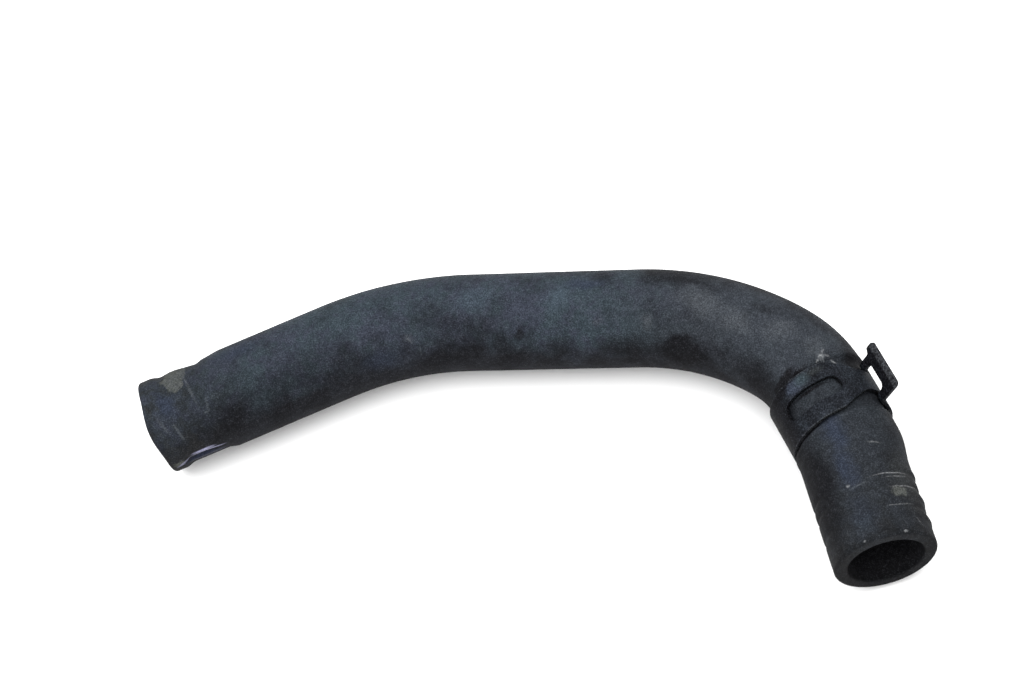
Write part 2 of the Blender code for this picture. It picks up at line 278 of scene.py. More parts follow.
class Graph:
    """Short calls that add nodes to a geometry or shader tree."""

    def __init__(self, tree: bpy.types.NodeTree) -> None:
        """Keep the tree that the calls add to."""
        self.tree = tree

    def fill(self, node: bpy.types.Node, inputs: dict) -> None:
        """Set or link a node's inputs.

        Args:
            node: the node.
            inputs: values or sockets by the input's name or number.
        """
        for key, value in inputs.items():
            if isinstance(value, Socket):
                self.tree.links.new(value, node.inputs[key])
            else:
                node.inputs[key].default_value = value

    def node(self, kind: str, inputs: dict | None = None, **settings: object) -> bpy.types.Node:
        """Add a node, set its options and fill or link its inputs.

        Args:
            kind: Blender's name of the node's type.
            inputs: values or sockets by the input's name or number.
            settings: the node's own options.

        Returns:
            The new node.
        """
        made = self.tree.nodes.new(kind)
        for name, value in settings.items():
            setattr(made, name, value)
        self.fill(made, inputs or {})
        return made

    def math(self, operation: str, *values: Value) -> Socket:
        """Return the result of a Math node on one to three values."""
        return self.node("ShaderNodeMath", dict(enumerate(values)), operation=operation).outputs[0]

    def vector(self, operation: str, *values: object) -> Socket:
        """Return the vector result of a Vector Math node."""
        made = self.node("ShaderNodeVectorMath", dict(enumerate(values)), operation=operation)
        return made.outputs["Vector"]

    def scaled(self, vector: object, factor: Value) -> Socket:
        """Return a vector times a factor."""
        made = self.node("ShaderNodeVectorMath", {0: vector, "Scale": factor}, operation="SCALE")
        return made.outputs["Vector"]

    def measure(self, operation: str, *values: object) -> Socket:
        """Return the single value of a Vector Math node, such as a length or a dot product."""
        made = self.node("ShaderNodeVectorMath", dict(enumerate(values)), operation=operation)
        return made.outputs["Value"]

    def combined(self, **parts: Value) -> Socket:
        """Return the vector with the given X, Y and Z."""
        return self.node("ShaderNodeCombineXYZ", parts).outputs[0]

    def parted(self, vector: Socket) -> bpy.types.NodeOutputs:
        """Return a vector's X, Y and Z."""
        return self.node("ShaderNodeSeparateXYZ", {0: vector}).outputs

    def ramp(self, value: Value, fade: Fade) -> Socket:
        """Return the result of a smooth change that follows a value.

        Args:
            value: the value that is followed.
            fade: the change.

        Returns:
            The result's socket.
        """
        ends = {"From Min": fade.start, "From Max": fade.end, "To Min": fade.low, "To Max": fade.high}
        made = self.node("ShaderNodeMapRange", {"Value": value} | ends, interpolation_type="SMOOTHSTEP")
        return made.outputs["Result"]

    def noise(self, place: object, pattern: Noise) -> Socket:
        """Return a noise value, around 0.5, at a place.

        Args:
            place: the vector that the noise follows.
            pattern: the noise's sizes and seed.

        Returns:
            The noise's socket.
        """
        inputs = {
            "Vector": place,
            "W": pattern.seed,
            "Scale": 1.0 / pattern.size,
            "Detail": pattern.detail,
            "Roughness": pattern.rough,
        }
        return self.node("ShaderNodeTexNoise", inputs, noise_dimensions="4D").outputs[0]

    def mix(self, factor: Value, first: object, second: object) -> Socket:
        """Return a mix of two colours by a factor.

        Args:
            factor: the second colour's share, from 0 to 1.
            first: a colour or its socket.
            second: the other one.

        Returns:
            The mixed colour's socket.
        """
        made = self.node("ShaderNodeMix", {0: factor}, data_type="RGBA")
        for number, colour in ((6, first), (7, second)):
            self.fill(made, {number: colour if isinstance(colour, Socket) else (*colour, 1.0)})
        return made.outputs[2]

    def oval(self, place: Socket, middle: Point, size: Point, turn: float, soft: float) -> Socket:
        """Return a mask that is 1 inside an oval on the unrolled surface and fades at its edge.

        Args:
            place: the unrolled place, along and round the hose in metres.
            middle: the oval's middle on it.
            size: its two half sizes.
            turn: degrees by which it is turned.
            soft: the share of its size over which it fades.

        Returns:
            The mask's socket.
        """
        inputs = {"Vector": self.vector("SUBTRACT", place, middle), "Angle": -math.radians(turn)}
        turned = self.node("ShaderNodeVectorRotate", inputs, rotation_type="Z_AXIS").outputs[0]
        reach = self.measure("LENGTH", self.vector("DIVIDE", turned, size))
        return self.ramp(reach, Fade(1.0 - soft, 1.0, 1.0, 0.0))


class ShapeGraph(Graph):
    """The nodes of one new geometry tree."""

    def __init__(self, name: str, sockets: dict[str, str]) -> None:
        """Start the tree.

        Args:
            name: the tree's name.
            sockets: the kind of socket of each named input after the geometry; Material is always one.
        """
        tree = bpy.data.node_groups.new(name, "GeometryNodeTree")
        tree.is_modifier = True
        tree.interface.new_socket("Geometry", in_out="INPUT", socket_type="NodeSocketGeometry")
        for label, kind in (sockets | {"Material": "Material"}).items():
            tree.interface.new_socket(label, in_out="INPUT", socket_type="NodeSocket" + kind)
        tree.interface.new_socket("Geometry", in_out="OUTPUT", socket_type="NodeSocketGeometry")
        super().__init__(tree)
        self.given = tree.nodes.new("NodeGroupInput").outputs

    def shape(self, kind: str, inputs: dict | None = None, **settings: object) -> Socket:
        """Return the first output of a geometry node, named without its prefix."""
        return self.node("GeometryNode" + kind, inputs, **settings).outputs[0]

    def stored(self, geometry: Socket, name: str, value: Socket, kind: str = "FLOAT_VECTOR") -> Socket:
        """Return the geometry with a value stored on its points under a name."""
        inputs = {"Geometry": geometry, "Name": name, "Value": value}
        return self.shape("StoreNamedAttribute", inputs, data_type=kind)

    def along_route(self, distance: Socket) -> bpy.types.NodeOutputs:
        """Return the place at a distance along the curve object that the input Route names.

        Args:
            distance: the distance in metres.

        Returns:
            The outputs, with Position and Tangent among them.
        """
        inputs = {"Object": self.given["Route"]}
        route = self.node("GeometryNodeObjectInfo", inputs, transform_space="ORIGINAL")
        inputs = {"Curves": route.outputs["Geometry"], "Length": distance}
        return self.node("GeometryNodeSampleCurve", inputs, mode="LENGTH").outputs

    def close(self, geometry: Socket) -> bpy.types.NodeTree:
        """End the tree in smooth shading, Realize Instances and Set Material.

        Args:
            geometry: the finished geometry.

        Returns:
            The tree.
        """
        geometry = self.shape("SetShadeSmooth", {"Geometry": geometry})
        geometry = self.shape("RealizeInstances", {"Geometry": geometry})
        geometry = self.shape("SetMaterial", {"Geometry": geometry, "Material": self.given["Material"]})
        self.node("NodeGroupOutput", {0: geometry})
        return self.tree


class CoatGraph(Graph):
    """The nodes of one new material."""

    def __init__(self, name: str) -> None:
        """Start a material with a name."""
        self.material = bpy.data.materials.new(name)
        self.material.use_nodes = True
        super().__init__(self.material.node_tree)
        self.place = self.node("ShaderNodeTexCoord").outputs["Object"]

    def stored(self, name: str, output: str = "Vector") -> Socket:
        """Return what a geometry tree stored on the mesh under a name."""
        return self.node("ShaderNodeAttribute", attribute_name=name).outputs[output]

    def finished(
        self, colour: Socket, roughness: Value, specular: float, height: Socket, bump_strength: float
    ) -> bpy.types.Material:
        """Fill the material's shader.

        Args:
            colour: the colour.
            roughness: the roughness.
            specular: the level of its mirror-like light.
            height: the height of its fine unevenness in metres.
            bump_strength: how strongly that shows.

        Returns:
            The material.
        """
        bump = self.node("ShaderNodeBump", {"Height": height, "Distance": 1.0, "Strength": bump_strength})
        shader = self.tree.nodes["Principled BSDF"]
        self.fill(shader, {"Base Color": colour, "Roughness": roughness, "Normal": bump.outputs["Normal"]})
        shader.inputs["Specular IOR Level"].default_value = specular
        return self.material


def add_tree(holder: bpy.types.Object, tree: bpy.types.NodeTree, values: dict[str, object]) -> None:
    """Put a geometry tree on an object and set its inputs by their identifiers.

    Args:
        holder: the object that gets the modifier.
        tree: the geometry tree.
        values: what each named input is set to.
    """
    modifier = holder.modifiers.new(tree.name, "NODES")
    modifier.node_group = tree
    for item in tree.interface.items_tree:
        if item.in_out == "INPUT" and item.name in values:
            modifier[item.identifier] = values[item.name]


def plain_piece(holder: bpy.types.Object, name: str, place: Matrix) -> bpy.types.Object:
    """Turn an object with live modifiers into a plain mesh at the origin, and remove the old one.

    Args:
        holder: the object with its modifiers.
        name: the name of the finished piece.
        place: the matrix that is applied to its mesh.

    Returns:
        The finished piece.
    """
    bpy.context.view_layer.update()
    depsgraph = bpy.context.evaluated_depsgraph_get()
    evaluated = holder.evaluated_get(depsgraph)
    mesh = bpy.data.meshes.new_from_object(evaluated, preserve_all_data_layers=True, depsgraph=depsgraph)
    mesh.name = name
    mesh.transform(place)
    bpy.data.objects.remove(holder, do_unlink=True)
    piece = bpy.data.objects.new(name, mesh)
    bpy.context.scene.collection.objects.link(piece)
    return piece


def link_object(name: str, data: bpy.types.ID | None) -> bpy.types.Object:
    """Return a new object with the data, linked to the scene.

    Args:
        name: the object's name.
        data: its mesh, curve, light or camera.

    Returns:
        The object.
    """
    made = bpy.data.objects.new(name, data)
    bpy.context.scene.collection.objects.link(made)
    return made


def route_curve(name: str, points: list[Vector]) -> bpy.types.Object:
    """Return a curve object of one open polyline in its XY plane.

    Args:
        name: the object's name.
        points: the flat points that it passes through.

    Returns:
        The curve object, which isn't rendered.
    """
    curve = bpy.data.curves.new(name, "CURVE")
    curve.dimensions = "3D"
    spline = curve.splines.new("POLY")
    spline.points.add(len(points) - 1)
    for node, point in zip(spline.points, points):
        node.co = (point.x, point.y, 0.0, 1.0)
    made = link_object(name, curve)
    made.hide_render = True
    return made


@dataclass(frozen=True)
class Tint:
    """The colour and roughness of a kind of mark, wear and painted light alike, and how much the grain
    breaks it up, 0 to 1.
    """

    tone: WearAndLightTone
    colour: Colour
    roughness: float
    broken: float = 0.5


@dataclass(frozen=True)
class RubberFinish:
    """Black moulded rubber: a patchy blue-grey bloom with a painted sheen and painted top light above,
    painted shade below, brown near its ends.

    Attributes:
        grey_along: how grey the bloom is, by the distance from the left mouth.
        left_brown: how brown the left end is, by the same distance.
        right_brown: how brown the right end is, by the distance from the right mouth.
        left_level: how light the left end is, by the distance from the left mouth.
        leg_painted_shade: painted shade that darkens the right leg, by the same distance.
        rim_level: how light the right mouth's rim is, by the distance from the right mouth.
    """

    deep: Colour = (0.0042, 0.0044, 0.0058)
    plain: Colour = (0.0078, 0.0084, 0.0108)
    # The bloom's tints, which also carry a painted bluish sheen.
    bloom_sheen_violet: Colour = (0.0208, 0.0246, 0.0350)
    bloom_sheen_teal: Colour = (0.0194, 0.0275, 0.0338)
    bloom_sheen_grey: Colour = (0.0196, 0.0228, 0.0274)
    brown: Colour = (0.0112, 0.0112, 0.0118)
    bore: Colour = (0.0060, 0.0060, 0.0070)
    speck: Colour = (0.0180, 0.0188, 0.0210)
    specular: float = 0.05
    grain: Noise = Noise(0.34 * MM, 2.0, 0.8)
    pores: Noise = Noise(1.3 * MM, 3.0, 0.7, 3.0)
    lumps: Noise = Noise(2.2 * MM, 3.0, 0.55, 8.0)
    crumbs: Noise = Noise(0.8 * MM, 3.0, 0.7, 11.0)
    blotches: Noise = Noise(7.0 * MM, 3.0, 0.5, 2.0)
    clouds: Noise = Noise(24.0 * MM, 3.0, 0.5, 5.0)
    hues: Noise = Noise(16.0 * MM, 3.0, 0.6, 9.0)
    fine_hues: Noise = Noise(3.0 * MM, 3.0, 0.7, 12.0)
    dullness: Noise = Noise(6.0 * MM, 4.0, 0.6, 14.0)
    grain_height: float = 0.07 * MM
    lump_height: float = 0.09 * MM
    pore_height: float = 0.06 * MM
    bump_strength: float = 0.9
    grain_share: float = 0.76
    fine_hue_share: float = 0.45
    blotch_lift: float = 1.6
    cloud_lift: float = 1.2
    least_roughness: float = 0.58
    roughness_spread: float = 0.3
    plain_fade: Fade = Fade(0.35, 0.65)
    # How fully the bloom and its painted top light cover a place, by how much the place faces the top.
    bloom_sheen_fade: Fade = Fade(0.05, 1.15)
    teal_fade: Fade = Fade(0.40, 0.56)
    brown_fade: Fade = Fade(0.42, 0.58, 0.15, 0.85)
    bore_fade: Fade = Fade(0.55, 1.0)
    dark_fade: Fade = Fade(0.34, 0.66, 0.48, 1.52)
    speck_fade: Fade = Fade(0.50, 0.70)
    crumb_ends: tuple[float, float] = (0.40, 0.60)
    grey_along: Fade = Fade(125.0 * MM, 165.0 * MM, 0.0, 0.85)
    left_brown: Fade = Fade(5.0 * MM, 32.0 * MM, 1.0, 0.0)
    right_brown: Fade = Fade(30.0 * MM, 5.0 * MM, 0.0, 0.7)
    left_level: Fade = Fade(10.0 * MM, 60.0 * MM, 0.84, 1.0)
    # Painted shade on the right leg.
    leg_painted_shade: Fade = Fade(192.0 * MM, 214.0 * MM, 1.0, 0.68)
    rim_level: Fade = Fade(3.5 * MM, 1.0 * MM, 1.0, 0.70)
    edges: tuple[MarkEdge, ...] = (
        MarkEdge(1.0, 3.0 * MM, 0.3 * MM),
        MarkEdge(3.0, 2.5 * MM, 2.0 * MM),
        MarkEdge(math.inf, 6.0 * MM, 3.5 * MM),
    )
    edge_detail: float = 4.0
    edge_rough: float = 0.6
    # The marks' tints: dust, clay and scuffs are real; the others are painted shade, a partly painted
    # highlight and painted sheen.
    tints: tuple[Tint, ...] = (
        Tint(SHADE, (0.0026, 0.0026, 0.0034), 0.75, 0.0),
        Tint(NAVY_SHADE, (0.0033, 0.0055, 0.0150), 0.45, 0.0),
        Tint(BLOOM, (0.0290, 0.0410, 0.0530), 0.70, 0.0),
        Tint(BLUE_SHEEN, (0.0142, 0.0190, 0.0315), 0.60, 0.0),
        Tint(DUST, (0.0440, 0.0490, 0.0550), 0.85, 0.3),
        Tint(CLAY, (0.0630, 0.0665, 0.0605), 0.90, 0.2),
        Tint(SCUFF, (0.1750, 0.1800, 0.1850), 0.80, 0.7),
        Tint(LILAC, (0.2200, 0.2200, 0.3150), 0.60, 0.0),
    )

    def material(self, marks: tuple[WearAndLightMark, ...], radius: float, length: float) -> bpy.types.Material:
        """Return the rubber's material.

        Args:
            marks: the marks on the surface, of wear and of painted light and shade.
            radius: the hose's outer radius, which unrolls its surface.
            length: the hose's length along its middle line.

        Returns:
            The material.
        """
        coat = CoatGraph("hose_rubber_worn")
        wrap = coat.parted(coat.stored(WRAP_ATTRIBUTE))
        around = coat.math("MULTIPLY", coat.math("ARCTAN2", wrap["X"], wrap["Y"]), radius)
        unrolled = coat.combined(X=wrap["Z"], Y=around)
        grain, pores = coat.noise(coat.place, self.grain), coat.noise(coat.place, self.pores)
        colour = self.bloomed_and_lit(coat, wrap, length)
        colour, roughness = self.worn(coat, colour, unrolled, marks, radius)
        colour = coat.mix(coat.ramp(coat.stored(BORE_ATTRIBUTE, "Fac"), self.bore_fade), colour, self.bore)
        colour = self.grained(coat, colour, grain, pores)

        height = coat.math("MULTIPLY", grain, self.grain_height)
        height = coat.math("MULTIPLY_ADD", coat.noise(coat.place, self.lumps), self.lump_height, height)
        height = coat.math("MULTIPLY_ADD", pores, self.pore_height, height)
        return coat.finished(colour, roughness, self.specular, height, self.bump_strength)

    def bloomed_and_lit(self, coat: CoatGraph, wrap: bpy.types.NodeOutputs, length: float) -> Socket:
        """Return the clean rubber's colour: its patchy bloom with a painted sheen and painted top light, its
        brown ends, and its darker stretches with painted shade on the right leg.

        Args:
            coat: the material's graph.
            wrap: the sine and the cosine of the angle round the hose, and the distance along it.
            length: the hose's length.

        Returns:
            The colour's socket.
        """
        blotches, clouds = coat.noise(coat.place, self.blotches), coat.noise(coat.place, self.clouds)
        hue = coat.math("MULTIPLY", coat.noise(coat.place, self.hues), 1.0 - self.fine_hue_share)
        hue = coat.math("MULTIPLY_ADD", coat.noise(coat.place, self.fine_hues), self.fine_hue_share, hue)
        # Painted top light: the bloom lies thicker the more a place faces the top.
        bloom_and_top_light = wrap["Y"]
        for noise, strength in ((blotches, self.blotch_lift), (clouds, self.cloud_lift)):
            bloom_and_top_light = coat.math("MULTIPLY_ADD", coat.math("SUBTRACT", noise, 0.5), strength, bloom_and_top_light)
        tint = coat.mix(coat.ramp(hue, self.teal_fade), self.bloom_sheen_violet, self.bloom_sheen_teal)
        tint = coat.mix(coat.ramp(wrap["Z"], self.grey_along), tint, self.bloom_sheen_grey)
        colour = coat.mix(coat.ramp(blotches, self.plain_fade), self.deep, self.plain)
        colour = coat.mix(coat.ramp(bloom_and_top_light, self.bloom_sheen_fade), colour, tint)

        to_end = coat.math("SUBTRACT", length, wrap["Z"])
        near_end = coat.math(
            "MAXIMUM", coat.ramp(wrap["Z"], self.left_brown), coat.ramp(to_end, self.right_brown)
        )
        near_end = coat.math("MULTIPLY", near_end, coat.ramp(hue, self.brown_fade))
        colour = coat.mix(near_end, colour, self.brown)
        # Darker stretches: the left end, the rim, and painted shade on the right leg.
        level = coat.ramp(to_end, self.rim_level)
        for fade in (self.leg_painted_shade, self.left_level):
            level = coat.math("MULTIPLY", coat.ramp(wrap["Z"], fade), level)
        return coat.scaled(colour, level)

    def grained(self, coat: CoatGraph, colour: Socket, grain: Socket, pores: Socket) -> Socket:
        """Return the colour with the moulded grain: darker pores and pale dust on the high spots.

        Args:
            coat: the material's graph.
            colour: the colour without grain.
            grain: the fine noise.
            pores: the coarser noise.

        Returns:
            The colour's socket.
        """
        both = coat.math("MULTIPLY", pores, 1.0 - self.grain_share)
        both = coat.math("MULTIPLY_ADD", grain, self.grain_share, both)
        dark = coat.scaled(colour, coat.ramp(both, self.dark_fade))
        return coat.vector("ADD", dark, coat.scaled(self.speck, coat.ramp(both, self.speck_fade)))

    def worn(
        self, coat: CoatGraph, colour: Socket, unrolled: Socket, marks: tuple[WearAndLightMark, ...], radius: float
    ) -> tuple[Socket, Socket]:
        """Lay the marks, wear and painted light and shade alike, over the clean rubber.

        Args:
            coat: the material's graph.
            colour: the colour under the marks.
            unrolled: the place along and round the hose.
            marks: the marks.
            radius: the hose's outer radius.

        Returns:
            The colour and the roughness with the marks on.
        """
        places = [(edge.limit, self.ragged(coat, unrolled, edge)) for edge in self.edges]
        crumbs = coat.noise(coat.place, self.crumbs)
        dullness = coat.noise(coat.place, self.dullness)
        roughness = coat.math("MULTIPLY_ADD", dullness, self.roughness_spread, self.least_roughness)
        for tint in self.tints:
            mask = 0.0
            for mark in marks:
                if mark.tone is not tint.tone:
                    continue
                least = min(mark.half_along, mark.half_around)
                place = next(shifted for limit, shifted in places if least < limit)
                spot = coat.oval(place, *mark.spot(radius), mark.turn, mark.soft)
                mask = coat.math("MAXIMUM", mask, coat.math("MULTIPLY", spot, mark.strength))
            unbroken = coat.ramp(crumbs, Fade(*self.crumb_ends, 1.0 - tint.broken, 1.0))
            mask = coat.math("MULTIPLY", mask, unbroken)
            colour = coat.mix(mask, colour, tint.colour)
            inputs = {0: mask, 2: roughness, 3: tint.roughness}
            roughness = coat.node("ShaderNodeMix", inputs, data_type="FLOAT").outputs[0]
        return colour, roughness

    def ragged(self, coat: CoatGraph, unrolled: Socket, edge: MarkEdge) -> Socket:
        """Return the unrolled place shifted by noise, so that the marks laid on it have ragged edges.

        Args:
            coat: the material's graph.
            unrolled: the place along and round the hose.
            edge: the size of the noise's features and how far it shifts.

        Returns:
            The shifted place.
        """
        inputs = {
            "Vector": coat.place,
            "Scale": 1.0 / edge.size,
            "Detail": self.edge_detail,
            "Roughness": self.edge_rough,
        }
        wobble = coat.node("ShaderNodeTexNoise", inputs).outputs["Color"]
        shift = coat.scaled(coat.vector("SUBTRACT", wobble, (0.5, 0.5, 0.5)), 2.0 * edge.reach)
        return coat.vector("MULTIPLY", coat.vector("ADD", unrolled, shift), (1.0, 1.0, 0.0))


@dataclass(frozen=True)
class BandMark:
    """An oval mark on the clamp's flat blank.

    Attributes:
        angle: place along the strip, in degrees round the hose from the top, past 360 where it overlaps.
        across: place across the strip in millimetres, positive towards the right mouth.
        half_along: half its size along the strip, in millimetres.
        half_across: half its size across the strip.
        colour: its colour.
        strength: how strongly it shows, from 0 to 1.
        soft: the share of its size over which it fades.
    """

    angle: float
    across: float
    half_along: float
    half_across: float
    colour: Colour
    strength: float
    soft: float


@dataclass(frozen=True)
class CoatedSteelFinish:
    """Black-coated spring steel, dusty on its faces and worn lighter on its cut edges; painted shade darkens
    its cut faces and its fork ear.

    Attributes:
        ear_fade: how much a place belongs to the fork ear, by the distance past the ear's bend.
        cut_fade: how much it belongs to a cut edge, by the depth under the strip's faces.
        edge_fade: how worn it is, by the distance from the band's edge.
        lip_fade: how worn it is, by the distance from the ear's tip.
    """

    coat: Colour = (0.0048, 0.0057, 0.0076)
    dust: Colour = (0.0102, 0.0124, 0.0160)
    edge: Colour = (0.0480, 0.0510, 0.0560)
    # Painted shade on the cut faces.
    cut: Colour = (0.0024, 0.0024, 0.0030)
    # Painted shade on the fork ear.
    ear: Colour = (0.0026, 0.0026, 0.0036)
    speck: Colour = (0.0130, 0.0140, 0.0165)
    specular: float = 0.035
    roughness: float = 0.62
    roughness_spread: float = 0.35
    bump_height: float = 0.05 * MM
    bump_strength: float = 0.8
    ear_cut_wear: float = 0.6
    grain: Noise = Noise(0.36 * MM, 2.0, 0.8, 1.0)
    flecks: Noise = Noise(0.8 * MM, 3.0, 0.7, 2.0)
    patches: Noise = Noise(4.0 * MM, 4.0, 0.6, 4.0)
    dust_fade: Fade = Fade(0.38, 0.66)
    ear_fade: Fade = Fade(-0.5 * MM, 1.0 * MM, 1.0, 0.0)
    cut_fade: Fade = Fade(0.04 * MM, 0.2 * MM)
    edge_fade: Fade = Fade(0.5 * MM, 0.1 * MM, 0.0, 0.45)
    lip_fade: Fade = Fade(1.7 * MM, 1.2 * MM, 0.0, 0.7)
    rubbed_fade: Fade = Fade(0.36, 0.64, 0.10, 0.95)
    dark_fade: Fade = Fade(0.32, 0.68, 0.40, 1.60)
    speck_fade: Fade = Fade(0.50, 0.68)

    def material(
        self,
        thickness: float,
        half_width: float,
        ear_length: float,
        marks: tuple[tuple[Point, BandMark], ...],
    ) -> bpy.types.Material:
        """Return the coated steel's material.

        Args:
            thickness: the strip's thickness.
            half_width: half the band's width.
            ear_length: the length of the fork ear, which is darker with painted shade and has a paler lip.
            marks: the marks on the flat blank, painted shade and a painted sheen among them, each with its
                place.

        Returns:
            The material.
        """
        coat = CoatGraph("clamp_steel_coated")
        flat = coat.stored(FLAT_ATTRIBUTE)
        parts = coat.parted(flat)
        grain = coat.noise(coat.place, self.grain)
        flecks = coat.noise(coat.place, self.flecks)
        patches = coat.noise(coat.place, self.patches)
        colour = coat.mix(coat.ramp(patches, self.dust_fade), self.coat, self.dust)
        flat_place = coat.vector("MULTIPLY", flat, (1.0, 1.0, 0.0))
        # Marks on the blank, painted shade and a painted sheen among them.
        for middle, mark in marks:
            size = (mark.half_along * MM, mark.half_across * MM, 1.0)
            spot = coat.oval(flat_place, middle, size, 0.0, mark.soft)
            colour = coat.mix(coat.math("MULTIPLY", spot, mark.strength), colour, mark.colour)
        # Painted shade on the fork ear.
        on_ear = coat.ramp(coat.math("SUBTRACT", parts["X"], ear_length), self.ear_fade)
        colour = coat.mix(on_ear, colour, self.ear)
        # Painted shade on the cut faces.
        depth = coat.math("SUBTRACT", thickness / 2, coat.math("ABSOLUTE", parts["Z"]))
        on_cut = coat.ramp(depth, self.cut_fade)
        colour = coat.mix(on_cut, colour, self.cut)

        from_edge = coat.math("SUBTRACT", half_width, coat.math("ABSOLUTE", parts["Y"]))
        bare = coat.math("MULTIPLY", coat.math("MULTIPLY", on_ear, on_cut), self.ear_cut_wear)
        for worn in (coat.ramp(parts["X"], self.lip_fade), coat.ramp(from_edge, self.edge_fade)):
            bare = coat.math("MAXIMUM", worn, bare)
        bare = coat.math("MULTIPLY", bare, coat.ramp(flecks, self.rubbed_fade))
        colour = coat.mix(bare, colour, self.edge)
        colour = coat.scaled(colour, coat.ramp(grain, self.dark_fade))
        colour = coat.vector("ADD", colour, coat.scaled(self.speck, coat.ramp(grain, self.speck_fade)))
        spread = coat.math("SUBTRACT", patches, 0.5)
        roughness = coat.math("MULTIPLY_ADD", spread, self.roughness_spread, self.roughness)
        height = coat.math("MULTIPLY", grain, self.bump_height)
        height = coat.math("MULTIPLY_ADD", flecks, self.bump_height, height)
        return coat.finished(colour, roughness, self.specular, height, self.bump_strength)


@dataclass(frozen=True)
class FloorFinish:
    """A plain pale table top with a faint unevenness."""

    colour: Colour = (0.93, 0.93, 0.93)
    low: Colour = (0.90, 0.90, 0.90)
    clouds: Noise = Noise(60.0 * MM, 4.0, 0.6, 3.0)
    roughness: float = 0.9

    def material(self) -> bpy.types.Material:
        """Make the floor's material.

        Returns:
            The material.
        """
        coat = CoatGraph("pale_floor")
        tone = coat.mix(coat.noise(coat.place, self.clouds), self.low, self.colour)
        shader = coat.tree.nodes["Principled BSDF"]
        coat.fill(shader, {"Base Color": tone, "Roughness": self.roughness})
        return coat.material


